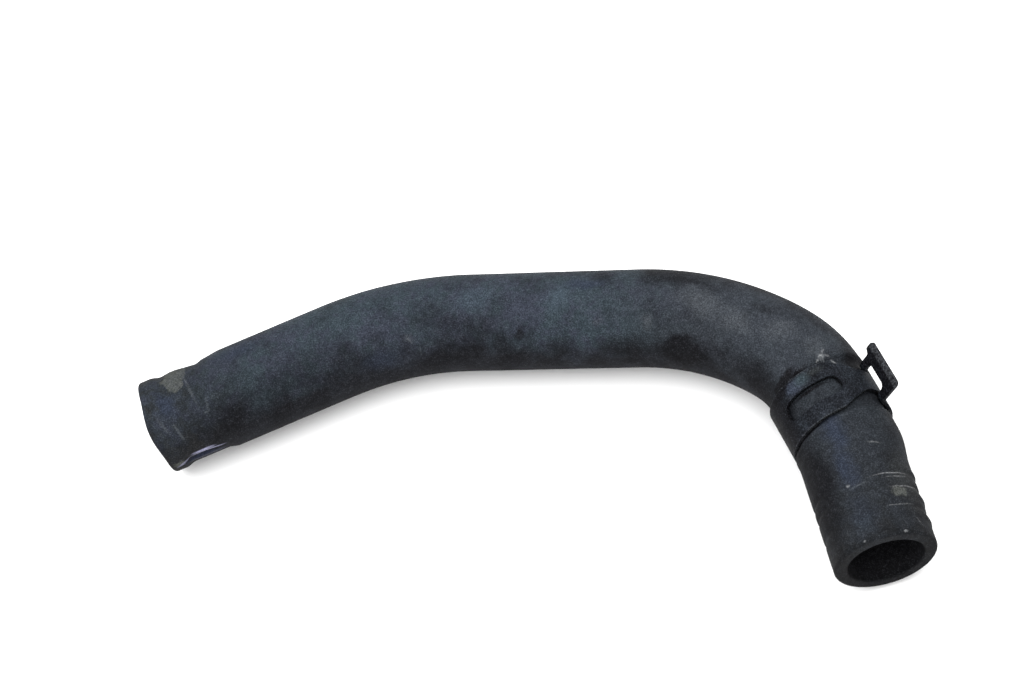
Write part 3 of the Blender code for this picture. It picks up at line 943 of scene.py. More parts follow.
@dataclass
class CoolantHose:
    """The moulded rubber hose: its route, its section, its relief, its wear and its painted light and shade.

    Attributes:
        depth_fade: how much relief is pressed in, by the share of the wall from the bore outwards.
        lip_middle: how far past the seat the swelling beside it is highest.
        lip_fade: that swelling's height, by the distance from its middle.
        seat_fade: how far the seat's floor has risen, by the distance past the seat.
    """

    bore_radius: float = 10.0 * MM
    wall: float = 3.5 * MM
    rim_round: float = 0.9 * MM
    bore_round: float = 0.5 * MM
    waist_start: float = 3.5 * MM
    waist_end: float = 19.5 * MM
    waist_depth: float = 0.7 * MM
    waist_edge: float = 3.0 * MM
    ring_setbacks: tuple[float, ...] = (18.6 * MM, 14.9 * MM, 8.7 * MM)
    ring_depth: float = 0.3 * MM
    ring_half_width: float = 1.3 * MM
    seat_depth: float = 0.8 * MM
    seat_half_width: float = 7.9 * MM
    lip_middle: float = 1.5 * MM
    lump_height: float = 0.16 * MM
    lump_level: float = 0.9
    lumps: Noise = Noise(14.0 * MM, 3.0, 0.5, 6.0)
    depth_fade: Fade = Fade(0.3, 0.85)
    lip_fade: Fade = Fade(0.0, 1.6 * MM, 0.12 * MM, 0.0)
    seat_fade: Fade = Fade(-0.2 * MM, 1.4 * MM, 0.0, 2.4 * MM)
    sides: int = 128
    outer_step: float = 0.8 * MM
    fine_step: float = 0.4 * MM
    fine_margin: float = 4.0 * MM
    fine_end: float = 26.0 * MM
    bore_step: float = 3.0 * MM
    guide_step: float = 0.5 * MM
    weld: float = 0.001 * MM
    rim_steps: int = 6
    face_shares: tuple[float, ...] = (0.25, 0.5, 0.75)
    lip_share: float = 0.6
    finish: RubberFinish = field(default_factory=RubberFinish)
    route: FlatRoute = FlatRoute(
        (
            Run(RunKind.STRAIGHT, 54.0 * MM),
            Run(RunKind.ARC, 88.5 * MM, -25.5),
            Run(RunKind.STRAIGHT, 47.5 * MM),
            Run(RunKind.ARC, 71.0 * MM, -34.0),
            Run(RunKind.ARC, 32.0 * MM, -32.5),
            Run(RunKind.STRAIGHT, 16.0 * MM),
            Run(RunKind.ARC, 54.0 * MM, -5.5),
            Run(RunKind.STRAIGHT, 29.5 * MM),
        )
    )
    clamp_offset: float = 5.5 * MM
    clamp_skew: float = 4.5
    reliefs: tuple[Relief, ...] = (
        Relief(9.0, -99.0, 8.5, 1.3, -0.6),
        Relief(10.0, 42.0, 4.0, 12.0, 0.35),
        Relief(18.5, 60.0, 6.5, 14.0, -0.55),
        Relief(198.0, -30.0, 1.5, 10.5, -0.45, 80.0),
        Relief(216.5, 86.0, 8.0, 12.0, 0.40),
        Relief(221.5, 80.0, 6.8, 12.0, 0.55),
        Relief(232.0, 84.0, 1.8, 12.0, 0.25),
        Relief(239.6, 84.0, 1.8, 13.0, 0.35),
        Relief(245.6, 84.0, 1.6, 12.0, 0.30),
    )
    marks: tuple[WearAndLightMark, ...] = (
        # The left end: taped patch, crossing scratches, a worn crease with a painted highlight along it and
        # painted shade under it, a painted sheen on top, painted shade below
        WearAndLightMark(10.0, 17.5, 3.5, 4.0, CLAY, 0.58, 0.20, turn=12.0),
        WearAndLightMark(9.8, 28.0, 3.4, 4.2, CLAY, 0.58, 0.20, turn=-12.0),
        WearAndLightMark(12.6, 34.0, 2.0, 4.8, CLAY, 0.40, 0.30),
        streak((12.8, 40.0), (14.9, -42.0), 0.55, DUST, 0.62),
        streak((17.6, -18.0), (16.6, -44.0), 0.50, DUST, 0.42),
        streak((14.6, -41.0), (17.4, -40.0), 0.50, DUST, 0.45),
        streak((2.6, -18.0), (4.8, -54.0), 0.60, DUST, 0.45),
        streak((6.2, -34.0), (7.4, -70.0), 0.60, DUST, 0.55),
        WearAndLightMark(2.4, -96.0, 2.4, 2.2, CLAY, 0.75, 0.7),
        streak((0.8, -104.0), (7.5, -94.0), 0.70, LILAC, 0.50),
        streak((5.0, -94.5), (18.0, -97.5), 0.80, LILAC, 0.95),
        WearAndLightMark(10.5, -91.0, 4.5, 0.9, LILAC, 0.85, 0.7),
        WearAndLightMark(10.5, -107.0, 7.5, 2.2, NAVY_SHADE, 0.95, 0.4, turn=-8.0),
        WearAndLightMark(6.0, -12.0, 4.0, 5.5, BLUE_SHEEN, 0.80, 0.8),
        WearAndLightMark(20.0, -58.0, 15.0, 8.0, SHADE, 0.55),
        # The left leg and the middle: bloom with a painted sheen in patches above, painted shade in patches
        # below
        WearAndLightMark(30.0, 22.0, 11.0, 5.0, BLUE_SHEEN, 0.65),
        WearAndLightMark(97.5, -4.0, 8.0, 5.5, BLOOM, 0.60, turn=10.0),
        WearAndLightMark(121.5, -3.0, 7.0, 6.0, BLOOM, 0.65, turn=40.0),
        WearAndLightMark(128.0, 15.0, 8.0, 3.5, BLUE_SHEEN, 0.75),
        WearAndLightMark(79.0, -12.0, 8.0, 3.5, BLOOM, 0.20),
        WearAndLightMark(77.5, -44.0, 1.8, 3.2, DUST, 0.30, turn=70.0),
        streak((76.6, -36.0), (78.8, -54.0), 0.50, DUST, 0.80),
        streak((80.6, -52.0), (80.4, -70.0), 0.35, DUST, 0.50),
        WearAndLightMark(42.0, -46.0, 20.0, 8.0, SHADE, 0.50),
        WearAndLightMark(68.0, -64.0, 10.0, 5.0, BLUE_SHEEN, 0.45),
        WearAndLightMark(92.0, -66.0, 11.0, 5.5, SHADE, 0.50, 0.8),
        WearAndLightMark(105.0, -58.0, 5.0, 4.5, SHADE, 0.60, 0.7),
        WearAndLightMark(110.5, -46.0, 2.0, 2.2, SHADE, 0.75, 0.7),
        WearAndLightMark(121.0, -62.0, 6.5, 4.5, SHADE, 0.35, 0.8),
        WearAndLightMark(132.0, -34.0, 2.6, 1.4, DUST, 0.40),
        WearAndLightMark(138.0, -66.0, 12.0, 5.0, SHADE, 0.45, 0.8),
        # The main bend: grey dust over its shoulder, painted shade in the hollows under it, darker patches
        # on its top
        WearAndLightMark(146.0, -36.0, 2.8, 3.4, DUST, 0.40),
        WearAndLightMark(157.5, -69.0, 11.0, 7.0, SHADE, 0.92, 0.50),
        WearAndLightMark(152.0, 40.0, 15.0, 6.0, SHADE, 0.70),
        WearAndLightMark(152.5, 24.0, 14.0, 5.5, SHADE, 0.78),
        WearAndLightMark(176.0, 54.0, 14.0, 5.0, SHADE, 0.40),
        WearAndLightMark(161.5, -4.0, 11.0, 5.0, DUST, 0.60, turn=-18.0),
        WearAndLightMark(172.0, -14.0, 9.0, 4.5, DUST, 0.55, turn=-20.0),
        WearAndLightMark(184.0, 0.0, 8.0, 4.5, DUST, 0.50, turn=20.0),
        WearAndLightMark(186.0, 44.0, 9.0, 4.0, SHADE, 0.40),
        WearAndLightMark(177.0, 14.0, 6.0, 2.6, SHADE, 0.35, turn=10.0),
        WearAndLightMark(186.0, -58.0, 12.0, 7.0, SHADE, 0.70, 0.7),
        # Along the band's upper edge: painted shadow in the gap on its left, pale scuffs on its right,
        # painted shadow by the ear's root
        streak((200.0, -68.0), (197.8, -26.0), 2.40, SHADE, 1.00),
        WearAndLightMark(197.0, -42.0, 6.6, 2.3, SHADE, 0.95, 0.5, turn=101.0),
        WearAndLightMark(193.5, -72.0, 8.0, 8.0, SHADE, 0.75, 0.7),
        streak((198.4, -42.0), (197.6, -2.0), 1.40, SHADE, 1.00),
        streak((193.5, -2.5), (196.7, 14.5), 0.45, DUST, 0.70),
        streak((198.6, 2.0), (197.5, 9.0), 0.40, SCUFF, 0.70),
        streak((197.4, 7.0), (196.9, 14.0), 0.55, SCUFF, 0.75),
        streak((196.8, 12.0), (195.6, 20.0), 0.45, SCUFF, 0.60),
        streak((197.0, 14.0), (198.4, 21.0), 0.40, SCUFF, 0.55),
        streak((198.4, 20.0), (200.4, 27.5), 0.55, SCUFF, 0.75),
        WearAndLightMark(196.0, 12.0, 2.4, 3.6, DUST, 0.60, turn=60.0),
        WearAndLightMark(197.3, 11.0, 1.5, 1.2, SCUFF, 0.42, 0.8, turn=60.0),
        WearAndLightMark(193.5, 12.0, 5.0, 4.0, DUST, 0.40),
        WearAndLightMark(200.2, 52.0, 4.2, 5.0, SHADE, 0.90, 0.6),
        # Painted shadow lines along the slot's upper edge and under the band's lower edge
        streak((205.4, -52.0), (204.3, 16.0), 0.80, SHADE, 0.95),
        streak((204.3, 12.0), (206.8, 26.0), 0.85, SHADE, 0.90),
        streak((215.4, -70.0), (214.3, 10.0), 0.75, SHADE, 0.90),
        # The right leg: a painted bluish sheen down its middle, painted shade on its inner side, darker
        # patches above, pale lines on the pressed rings
        WearAndLightMark(232.0, -56.0, 22.0, 8.5, SHADE, 0.85, 0.6),
        WearAndLightMark(219.0, -12.0, 9.5, 4.2, BLUE_SHEEN, 0.80, 0.8),
        WearAndLightMark(230.0, -14.0, 9.0, 3.8, BLUE_SHEEN, 0.70, 0.8),
        WearAndLightMark(243.5, -12.0, 9.0, 5.5, BLUE_SHEEN, 0.28),
        WearAndLightMark(246.5, -13.0, 4.0, 3.5, BLOOM, 0.16),
        WearAndLightMark(247.0, 4.0, 7.0, 6.0, SHADE, 0.22),
        WearAndLightMark(236.0, 48.0, 17.0, 9.0, SHADE, 0.30, 0.8),
        streak((224.3, 14.0), (225.3, 38.0), 0.45, SCUFF, 0.35),
        streak((234.8, 0.0), (233.3, 70.0), 0.34, SCUFF, 0.60),
        streak((235.6, 16.0), (234.6, 60.0), 0.30, SCUFF, 0.35),
        streak((238.5, 18.0), (236.8, 80.0), 0.38, SCUFF, 0.60),
        WearAndLightMark(239.6, 36.0, 2.2, 2.8, CLAY, 0.70, 0.6),
        streak((243.6, 8.0), (242.8, 56.0), 0.32, SCUFF, 0.40),
        streak((236.6, -24.0), (235.6, 12.0), 0.32, DUST, 0.55),
        WearAndLightMark(235.3, -17.0, 0.6, 0.8, SCUFF, 0.60, 0.8),
        WearAndLightMark(251.2, 27.5, 0.45, 0.8, SCUFF, 0.70, 0.6),
        WearAndLightMark(251.2, -18.5, 0.45, 0.5, SCUFF, 0.50, 0.6),
        streak((246.6, 46.0), (249.6, 56.0), 0.30, SCUFF, 0.25),
        WearAndLightMark(236.0, 50.0, 12.0, 6.5, CLAY, 0.14),
    )
    mouth_bulge: Relief = Relief(0.0, -38.0, 5.0, 11.0, 0.9)

    @property
    def radius(self) -> float:
        """Return the hose's outer radius."""
        return self.bore_radius + self.wall

    @property
    def length(self) -> float:
        """Return the length of the middle line."""
        return self.route.length()

    @property
    def clamp_distance(self) -> float:
        """Return the distance along the hose of the clamp's middle."""
        return self.route.length(5) + self.clamp_offset

    def placement(self) -> Matrix:
        """Return where the route's plane lies in the frame.

        Returns:
            The matrix, worked out from the two mouths' mounts.
        """
        mounts = {mount["name"]: mount for mount in frame["record"]["mounts"]}
        left = mounts["left_mouth_face"]
        start = -Vector(left["axis"])
        right = Vector(mounts["right_mouth_face"]["axis"])
        up = start.cross(right).normalized()
        up = up if up.z > 0.0 else -up
        axes = Matrix((start, up.cross(start), up)).transposed().to_4x4()
        centre = Vector(left["pos_m"]) - up * (self.bore_radius + self.wall / 2)
        return Matrix.Translation(centre) @ axes

    def ring_frame(self, distance: float) -> Matrix:
        """Return the frame of the hose's ring at a distance.

        Args:
            distance: the place along the middle line.

        Returns:
            The matrix, with X to the outside of the bends, Y up and Z onward.
        """
        point, heading = self.route.pose(distance)
        onward = Vector((math.cos(heading), math.sin(heading), 0.0))
        up = Vector(UPWARD)
        axes = Matrix((up.cross(onward), up, onward)).transposed().to_4x4()
        return Matrix.Translation(Vector((*point, 0.0))) @ axes

    def clamp_frame(self) -> Matrix:
        """Return the clamp's matrix in the route's plane, with its skew on the hose."""
        return self.ring_frame(self.clamp_distance) @ Matrix.Rotation(math.radians(self.clamp_skew), 4, "Y")

    def outer_radius(self, distance: float) -> float:
        """Return the outer radius at a distance, with the left end's waist and the pressed rings.

        Args:
            distance: the place along the middle line.

        Returns:
            The radius in metres.
        """
        entry = smooth_step((distance - self.waist_start) / self.waist_edge)
        leave = smooth_step((self.waist_end - distance) / self.waist_edge)
        radius = self.radius - self.waist_depth * min(entry, leave)
        for setback in self.ring_setbacks:
            away = abs(distance - (self.length - setback)) / self.ring_half_width
            radius -= self.ring_depth * smooth_step(1.0 - away)
        return radius

    def outer_distances(self) -> list[float]:
        """Return where the outer surface has rings of points.

        Returns:
            The distances along the middle line, closer together where there is relief.
        """
        found = [self.rim_round]
        end = self.length - self.rim_round
        while found[-1] < end:
            here = found[-1]
            seat = abs(here - self.clamp_distance) < self.seat_half_width + self.fine_margin
            worn = here < self.waist_end + self.waist_edge or here > self.length - self.fine_end
            found.append(here + (self.fine_step if seat or worn else self.outer_step))
        return found[:-1] + [end]

    def section(self) -> list[Point]:
        """Return the closed outline of the wall as (distance, radius, share of bore).

        Returns:
            Points from the left rim over the outside, the right mouth, the bore and back.
        """
        rim, small, length = self.rim_round, self.bore_round, self.length
        turns = [math.radians(90.0 * step / self.rim_steps) for step in range(self.rim_steps + 1)]
        left, right = self.outer_radius(rim), self.outer_radius(length - rim)
        points = [(rim - rim * math.cos(a), left - rim + rim * math.sin(a), 0.0) for a in turns]
        points += [(distance, self.outer_radius(distance), 0.0) for distance in self.outer_distances()[1:-1]]
        points += [(length - rim + rim * math.sin(a), right - rim + rim * math.cos(a), 0.0) for a in turns]
        face_low, face_high = self.bore_radius + small, right - rim
        for share in self.face_shares:
            points.append((length, face_high + (face_low - face_high) * share, share * 0.5))
        lip, inner = self.lip_share, length - small
        points += [(inner + small * math.cos(a), face_low - small * math.sin(a), lip) for a in turns]
        steps = round((length - 2 * small) / self.bore_step)
        for step in range(1, steps):
            points.append((inner - (length - 2 * small) * step / steps, self.bore_radius, 1.0))
        points += [(small - small * math.sin(a), face_low - small * math.cos(a), lip) for a in turns]
        for share in self.face_shares:
            points.append((0.0, face_low + (left - rim - face_low) * share, (1.0 - share) * 0.5))
        return points + [points[0]]

    def swelling(self, graph: Graph, unrolled: Socket, relief: Relief) -> Socket:
        """Return how strongly a relief shows at a place on the unrolled surface, from 0 to 1."""
        return graph.oval(unrolled, *relief.spot(self.radius), relief.turn, 1.0)

    def wall_tree(self) -> bpy.types.NodeTree:
        """Return the tree that wraps the wall's section round its route and presses the relief in.

        Returns:
            The geometry tree, with its sizes as named inputs.
        """
        sizes = ("Bore Radius", "Outer Radius", "Lump Height", "Seat Depth", "Seat Half Width")
        sockets = {"Route": "Object", "Sides": "Int", "Seat Centre": "Vector", "Seat Axis": "Vector"}
        graph = ShapeGraph("hose_wall", sockets | dict.fromkeys(sizes, "Float"))
        at = graph.given
        count = graph.shape("AttributeDomainSize", {"Geometry": at["Geometry"]}, component="MESH")
        columns = graph.math("ADD", at["Sides"], 1.0)
        grid = graph.shape("MeshGrid", {"Vertices X": count, "Vertices Y": columns})
        index = graph.shape("InputIndex")
        row = graph.math("FLOOR", graph.math("DIVIDE", index, columns))
        column = graph.math("SUBTRACT", index, graph.math("MULTIPLY", row, columns))
        inputs = {"Geometry": at["Geometry"], "Value": graph.shape("InputPosition"), "Index": row}
        section = graph.parted(graph.shape("SampleIndex", inputs, data_type="FLOAT_VECTOR"))
        angle = graph.math("MULTIPLY", graph.math("DIVIDE", column, at["Sides"]), math.tau)
        sine, cosine = graph.math("SINE", angle), graph.math("COSINE", angle)

        middle = graph.along_route(section["X"])
        outside = graph.vector("NORMALIZE", graph.vector("CROSS_PRODUCT", UPWARD, middle["Tangent"]))
        spoke = graph.vector("ADD", graph.scaled(outside, sine), graph.scaled(UPWARD, cosine))
        surface = graph.vector("ADD", middle["Position"], graph.scaled(spoke, section["Y"]))
        around = graph.math("MULTIPLY", graph.math("ARCTAN2", sine, cosine), at["Outer Radius"])
        unrolled = graph.combined(X=section["X"], Y=around)

        lump = graph.math("SUBTRACT", graph.noise(surface, self.lumps), self.lump_level)
        change = graph.math("MULTIPLY", lump, at["Lump Height"])
        for relief in self.reliefs:
            swell = self.swelling(graph, unrolled, relief)
            change = graph.math("MULTIPLY_ADD", swell, relief.height * MM, change)
        offset = graph.vector("SUBTRACT", surface, at["Seat Centre"])
        onward = graph.measure("DOT_PRODUCT", offset, at["Seat Axis"])
        past = graph.math("SUBTRACT", graph.math("ABSOLUTE", onward), at["Seat Half Width"])
        away = graph.math("ABSOLUTE", graph.math("SUBTRACT", past, self.lip_middle))
        change = graph.math("ADD", change, graph.ramp(away, self.lip_fade))
        outward = graph.math("SUBTRACT", section["Y"], at["Bore Radius"])
        wall = graph.math("SUBTRACT", at["Outer Radius"], at["Bore Radius"])
        share = graph.ramp(graph.math("DIVIDE", outward, wall), self.depth_fade)
        change = graph.math("MULTIPLY", change, share)
        surface = graph.vector("ADD", surface, graph.scaled(spoke, change))

        surface = self.seated(graph, surface, past)
        back = graph.math(
            "MULTIPLY", self.swelling(graph, unrolled, self.mouth_bulge), -self.mouth_bulge.height * MM
        )
        surface = graph.vector("ADD", surface, graph.scaled(middle["Tangent"], back))

        shape = graph.shape("SetPosition", {"Geometry": grid, "Position": surface})
        shape = graph.stored(shape, WRAP_ATTRIBUTE, graph.combined(X=sine, Y=cosine, Z=section["X"]))
        shape = graph.stored(shape, BORE_ATTRIBUTE, section["Z"], "FLOAT")
        return graph.close(graph.shape("MergeByDistance", {"Geometry": shape, "Distance": self.weld}))

    def seated(self, graph: ShapeGraph, surface: Socket, past: Socket) -> Socket:
        """Return the surface cut down to the clamp's seat, a cylinder round the clamp's own axis.

        Args:
            graph: the wall's graph.
            surface: the place of each point of the wall.
            past: how far the point lies past the seat's half width.

        Returns:
            The places with the seat cut in.
        """
        at = graph.given
        offset = graph.vector("SUBTRACT", surface, at["Seat Centre"])
        onward = graph.measure("DOT_PRODUCT", offset, at["Seat Axis"])
        radial = graph.vector("SUBTRACT", offset, graph.scaled(at["Seat Axis"], onward))
        floor = graph.math("SUBTRACT", at["Outer Radius"], at["Seat Depth"])
        floor = graph.math("ADD", floor, graph.ramp(past, self.seat_fade))
        excess = graph.math("SUBTRACT", graph.measure("LENGTH", radial), floor)
        near = graph.math("LESS_THAN", past, self.seat_fade.end)
        excess = graph.math("MULTIPLY", graph.math("MAXIMUM", excess, 0.0), near)
        return graph.vector("SUBTRACT", surface, graph.scaled(graph.vector("NORMALIZE", radial), excess))

    def build(self) -> bpy.types.Object:
        """Return the finished hose, riding on its body in place of its plain solid.

        Returns:
            The hose's mesh object.
        """
        mesh = bpy.data.meshes.new("wall_section")
        mesh.from_pydata(self.section(), [], [])
        holder = link_object("wall_section", mesh)
        steps = round(self.length / self.guide_step)
        line = [self.route.pose(self.length * step / steps)[0] for step in range(steps + 1)]
        guide = route_curve("hose_route", line)
        seat = self.clamp_frame()
        values = {
            "Route": guide,
            "Sides": self.sides,
            "Bore Radius": self.bore_radius,
            "Outer Radius": self.radius,
            "Lump Height": self.lump_height,
            "Seat Centre": seat.translation,
            "Seat Axis": seat.col[2].to_3d(),
            "Seat Depth": self.seat_depth,
            "Seat Half Width": self.seat_half_width,
            "Material": self.finish.material(self.marks, self.radius, self.length),
        }
        add_tree(holder, self.wall_tree(), values)
        piece = plain_piece(holder, "moulded_hose", self.placement())
        bpy.data.objects.remove(guide, do_unlink=True)
        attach(piece, BODY)
        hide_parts(HOSE_NODE)
        return piece


@dataclass
class SpringBandClamp:
    """The clamp: one flat blank with its openings, bent round the hose, with two ears."""

    hose: CoolantHose
    width: float = 15.0 * MM
    thickness: float = 1.2 * MM
    edge_break: float = 0.18 * MM
    seat_clearance: float = 0.22 * MM
    bend_radius: float = 1.0 * MM
    fork_bend_at: float = 69.0
    fork_ear_turn: float = 60.0
    fork_ear_length: float = 6.6 * MM
    fork_neck_width: float = 12.6 * MM
    fork_head_length: float = 2.6 * MM
    fork_hook_reach: float = 7.8 * MM
    fork_bare_reach: float = 6.8 * MM
    window_bridge: float = 4.2 * MM
    tongue_bend_at: float = 131.0
    tongue_ear_turn: float = 90.0
    tongue_ear_length: float = 4.6 * MM
    tongue_width: float = 6.6 * MM
    tongue_clearance: float = 0.6 * MM
    tongue_head_length: float = 3.2 * MM
    tongue_head_width: float = 12.0 * MM
    fork_slot_run: float = 17.0
    long_slot: tuple[float, float] = (-54.0, 18.0)
    long_slot_width: float = 5.4 * MM
    taper: tuple[float, float] = (8.0, 46.0)
    shoulder_setback: float = 1.5 * MM
    shoulder_run: float = 2.0 * MM
    hook_slope: float = 0.7 * MM
    bare_corner: float = 1.3 * MM
    tip_corner: float = 0.7 * MM
    hook_corner: float = 0.5 * MM
    neck_corner: float = 0.6 * MM
    shoulder_corner: float = 1.2 * MM
    taper_corner: float = 4.0 * MM
    window_corner: float = 1.5 * MM
    corner_step: float = 10.0
    straight_angle: float = 179.0
    strip_step: float = 0.8 * MM
    bend_steps: int = 8
    guide_step: float = 0.1 * MM
    least_step: float = 0.1 * MM
    weld: float = 0.01 * MM
    flat_angle: float = 0.5
    cut_tolerance: float = 0.001 * MM
    slot_end_share: float = 0.49
    face_weight: int = 100
    marks: tuple[BandMark, ...] = (
        # Painted shade on the side towards the bend's inside and a painted shadow at the upper arm's corner;
        # a painted two-toned sheen beside it on the upper arm
        BandMark(284.0, 0.0, 9.5, 12.0, (0.0024, 0.0024, 0.0034), 0.95, 0.5),
        BandMark(311.0, -6.8, 7.5, 2.3, (0.0018, 0.0018, 0.0026), 1.00, 0.4),
        BandMark(331.0, -5.0, 3.6, 2.6, (0.0225, 0.0278, 0.0400), 0.90, 0.7),
        BandMark(342.0, -5.4, 3.2, 2.4, (0.0245, 0.0350, 0.0410), 0.80, 0.8),
        BandMark(358.0, -5.8, 3.5, 1.6, (0.0170, 0.0190, 0.0185), 0.50, 0.8),
        BandMark(76.0, 4.8, 2.2, 1.4, (0.0420, 0.0410, 0.0440), 0.60, 0.8),
    )
    finish: CoatedSteelFinish = field(default_factory=CoatedSteelFinish)

    @property
    def middle_radius(self) -> float:
        """Return the radius of the middle of the strip's thickness round the hose."""
        return self.hose.radius - self.hose.seat_depth + self.seat_clearance + self.thickness / 2

    @property
    def route(self) -> FlatRoute:
        """Return the route of the strip's middle line, from the fork ear's tip to the tongue ear's."""
        bend = self.bend_radius + self.thickness / 2
        wrap = FULL_TURN + self.tongue_bend_at - self.fork_bend_at
        return FlatRoute(
            (
                Run(RunKind.STRAIGHT, self.fork_ear_length),
                Run(RunKind.ARC, bend, self.fork_ear_turn),
                Run(RunKind.ARC, self.middle_radius, -wrap),
                Run(RunKind.ARC, bend, self.tongue_ear_turn),
                Run(RunKind.STRAIGHT, self.tongue_ear_length),
            )
        )

    def at_angle(self, angle: float) -> float:
        """Return the distance along the strip at an angle round the hose."""
        return self.route.length(2) + self.middle_radius * math.radians(angle - self.fork_bend_at)

    def middle_line(self) -> list[Vector]:
        """Return the strip's middle line in the clamp's plane.

        Returns:
            Its points, close together.
        """
        route = self.route
        start, start_heading = route.pose(route.length(2))
        angle = math.radians(self.fork_bend_at)
        turn = Matrix.Rotation(-angle - start_heading, 2)
        seat = Vector((math.sin(angle), math.cos(angle))) * self.middle_radius
        length = route.length()
        steps = round(length / self.guide_step)
        points = [route.pose(length * step / steps)[0] for step in range(steps + 1)]
        return [turn @ (point - start) + seat for point in points]

    def rounded(self, corners: list[Point]) -> list[Vector]:
        """Return the points of a closed outline whose corners are rounded.

        Args:
            corners: each corner as (along, across, corner radius).

        Returns:
            The outline's points.
        """
        points = []
        for index, (along, across, radius) in enumerate(corners):
            here = Vector((along, across))
            before = (Vector(corners[index - 1][:2]) - here).normalized()
            after = (Vector(corners[(index + 1) % len(corners)][:2]) - here).normalized()
            opening = before.angle(after)
            if opening > math.radians(self.straight_angle):
                points.append(here)
                continue
            middle = here + (before + after).normalized() * radius / math.sin(opening / 2)
            first = here + before * radius / math.tan(opening / 2) - middle
            last = here + after * radius / math.tan(opening / 2) - middle
            sweep = math.pi - opening
            steps = max(1, math.ceil(sweep / math.radians(self.corner_step)))
            for step in range(steps + 1):
                share = step / steps
                blend = first * math.sin(sweep * (1 - share)) + last * math.sin(sweep * share)
                points.append(middle + blend / math.sin(sweep))
        return points

    def strip_corners(self) -> list[Point]:
        """Return the blank's corners: fork ear, band, taper, tongue and tongue ear.

        Returns:
            Each corner as (along, across, corner radius).
        """
        end = self.route.length()
        full, neck = self.width / 2, self.fork_neck_width / 2
        hook, tongue = self.fork_hook_reach, self.tongue_width / 2
        tongue_head = self.tongue_head_width / 2
        shoulder = self.route.length(2) + self.shoulder_setback
        head_start = end - self.tongue_head_length
        hooked = [
            (0.0, hook, self.tip_corner),
            (self.fork_head_length, hook, self.hook_corner),
            (self.fork_head_length + self.hook_slope, neck, self.neck_corner),
            (shoulder, neck, self.shoulder_corner),
            (shoulder + self.shoulder_run, full, self.shoulder_corner),
            (self.at_angle(FULL_TURN + self.taper[0]), full, self.taper_corner),
            (self.at_angle(FULL_TURN + self.taper[1]), tongue, self.taper_corner),
            (head_start, tongue, self.hook_corner),
            (head_start, tongue_head, self.neck_corner),
            (end, tongue_head, self.tip_corner),
        ]
        bare = [(0.0, self.fork_bare_reach, self.bare_corner)] + hooked[3:]
        return bare + [(along, -across, radius) for along, across, radius in reversed(hooked)]

    def opening_corners(self, start: float, end: float, width: float, corner: float) -> list[Point]:
        """Return an opening's corners, each as (along, across, corner radius)."""
        half = width / 2
        return [(start, -half, corner), (end, -half, corner), (end, half, corner), (start, half, corner)]

    def blank(self) -> bpy.types.Object:
        """Cut the flat blank with its openings.

        Returns:
            A mesh object, divided along its length so that it can bend.
        """
        fork_slot = self.tongue_width + 2 * self.tongue_clearance
        window_end = self.at_angle(self.tongue_bend_at + self.fork_slot_run)
        slot = [self.at_angle(FULL_TURN + angle) for angle in self.long_slot]
        slot_width = self.long_slot_width
        curve = bpy.data.curves.new("strip_blank", "CURVE")
        curve.dimensions = "2D"
        curve.fill_mode = "BOTH"
        curve.extrude = self.thickness / 2 - self.edge_break
        curve.bevel_depth = self.edge_break
        curve.bevel_resolution = 1
        curve.offset = -self.edge_break
        for corners in (
            self.strip_corners(),
            self.opening_corners(self.window_bridge, window_end, fork_slot, self.window_corner),
            self.opening_corners(slot[0], slot[1], slot_width, self.slot_end_share * slot_width),
        ):
            outline = self.rounded(corners)
            spline = curve.splines.new("POLY")
            spline.use_cyclic_u = True
            spline.points.add(len(outline) - 1)
            for node, point in zip(spline.points, outline):
                node.co = (point.x, point.y, 0.0, 1.0)
        holder = plain_piece(link_object("strip_blank", curve), "strip_blank", Matrix.Identity(4))
        shape = bmesh.new()
        shape.from_mesh(holder.data)
        bmesh.ops.remove_doubles(shape, verts=shape.verts, dist=self.weld)
        limit = math.radians(self.flat_angle)
        bmesh.ops.dissolve_limit(shape, angle_limit=limit, verts=shape.verts, edges=shape.edges)
        for stop in self.stops():
            plane = {"plane_co": (stop, 0.0, 0.0), "plane_no": (1.0, 0.0, 0.0)}
            geometry = list(shape.verts) + list(shape.edges) + list(shape.faces)
            bmesh.ops.bisect_plane(shape, geom=geometry, dist=self.cut_tolerance, **plane)
        bmesh.ops.triangulate(shape, faces=shape.faces)
        bmesh.ops.recalc_face_normals(shape, faces=shape.faces)
        shape.to_mesh(holder.data)
        shape.free()
        holder.data.materials.clear()
        return holder

    def stops(self) -> list[float]:
        """Return where the blank is divided.

        Returns:
            Distances along the strip, close together in the tight bends.
        """
        route = self.route
        length = route.length()
        count = round(length / self.strip_step)
        found = [length * step / count for step in range(1, count)]
        for first, last in ((1, 2), (3, 4)):
            start, end = route.length(first), route.length(last)
            found += [start + (end - start) * step / self.bend_steps for step in range(self.bend_steps + 1)]
        kept = []
        for value in sorted(found):
            if not kept or value - kept[-1] > self.least_step:
                kept.append(value)
        return kept

    def bend_tree(self) -> bpy.types.NodeTree:
        """Return the tree that bends a flat blank along a route.

        Returns:
            The geometry tree, which keeps each point's flat place.
        """
        graph = ShapeGraph("bend_strip", {"Route": "Object"})
        position = graph.shape("InputPosition")
        shape = graph.stored(graph.given["Geometry"], FLAT_ATTRIBUTE, position)
        flat = graph.parted(position)
        middle = graph.along_route(flat["X"])
        outward = graph.vector("NORMALIZE", graph.vector("CROSS_PRODUCT", UPWARD, middle["Tangent"]))
        bent = graph.vector("ADD", middle["Position"], graph.scaled(outward, flat["Z"]))
        bent = graph.vector("ADD", bent, graph.combined(Z=flat["Y"]))
        return graph.close(graph.shape("SetPosition", {"Geometry": shape, "Position": bent}))

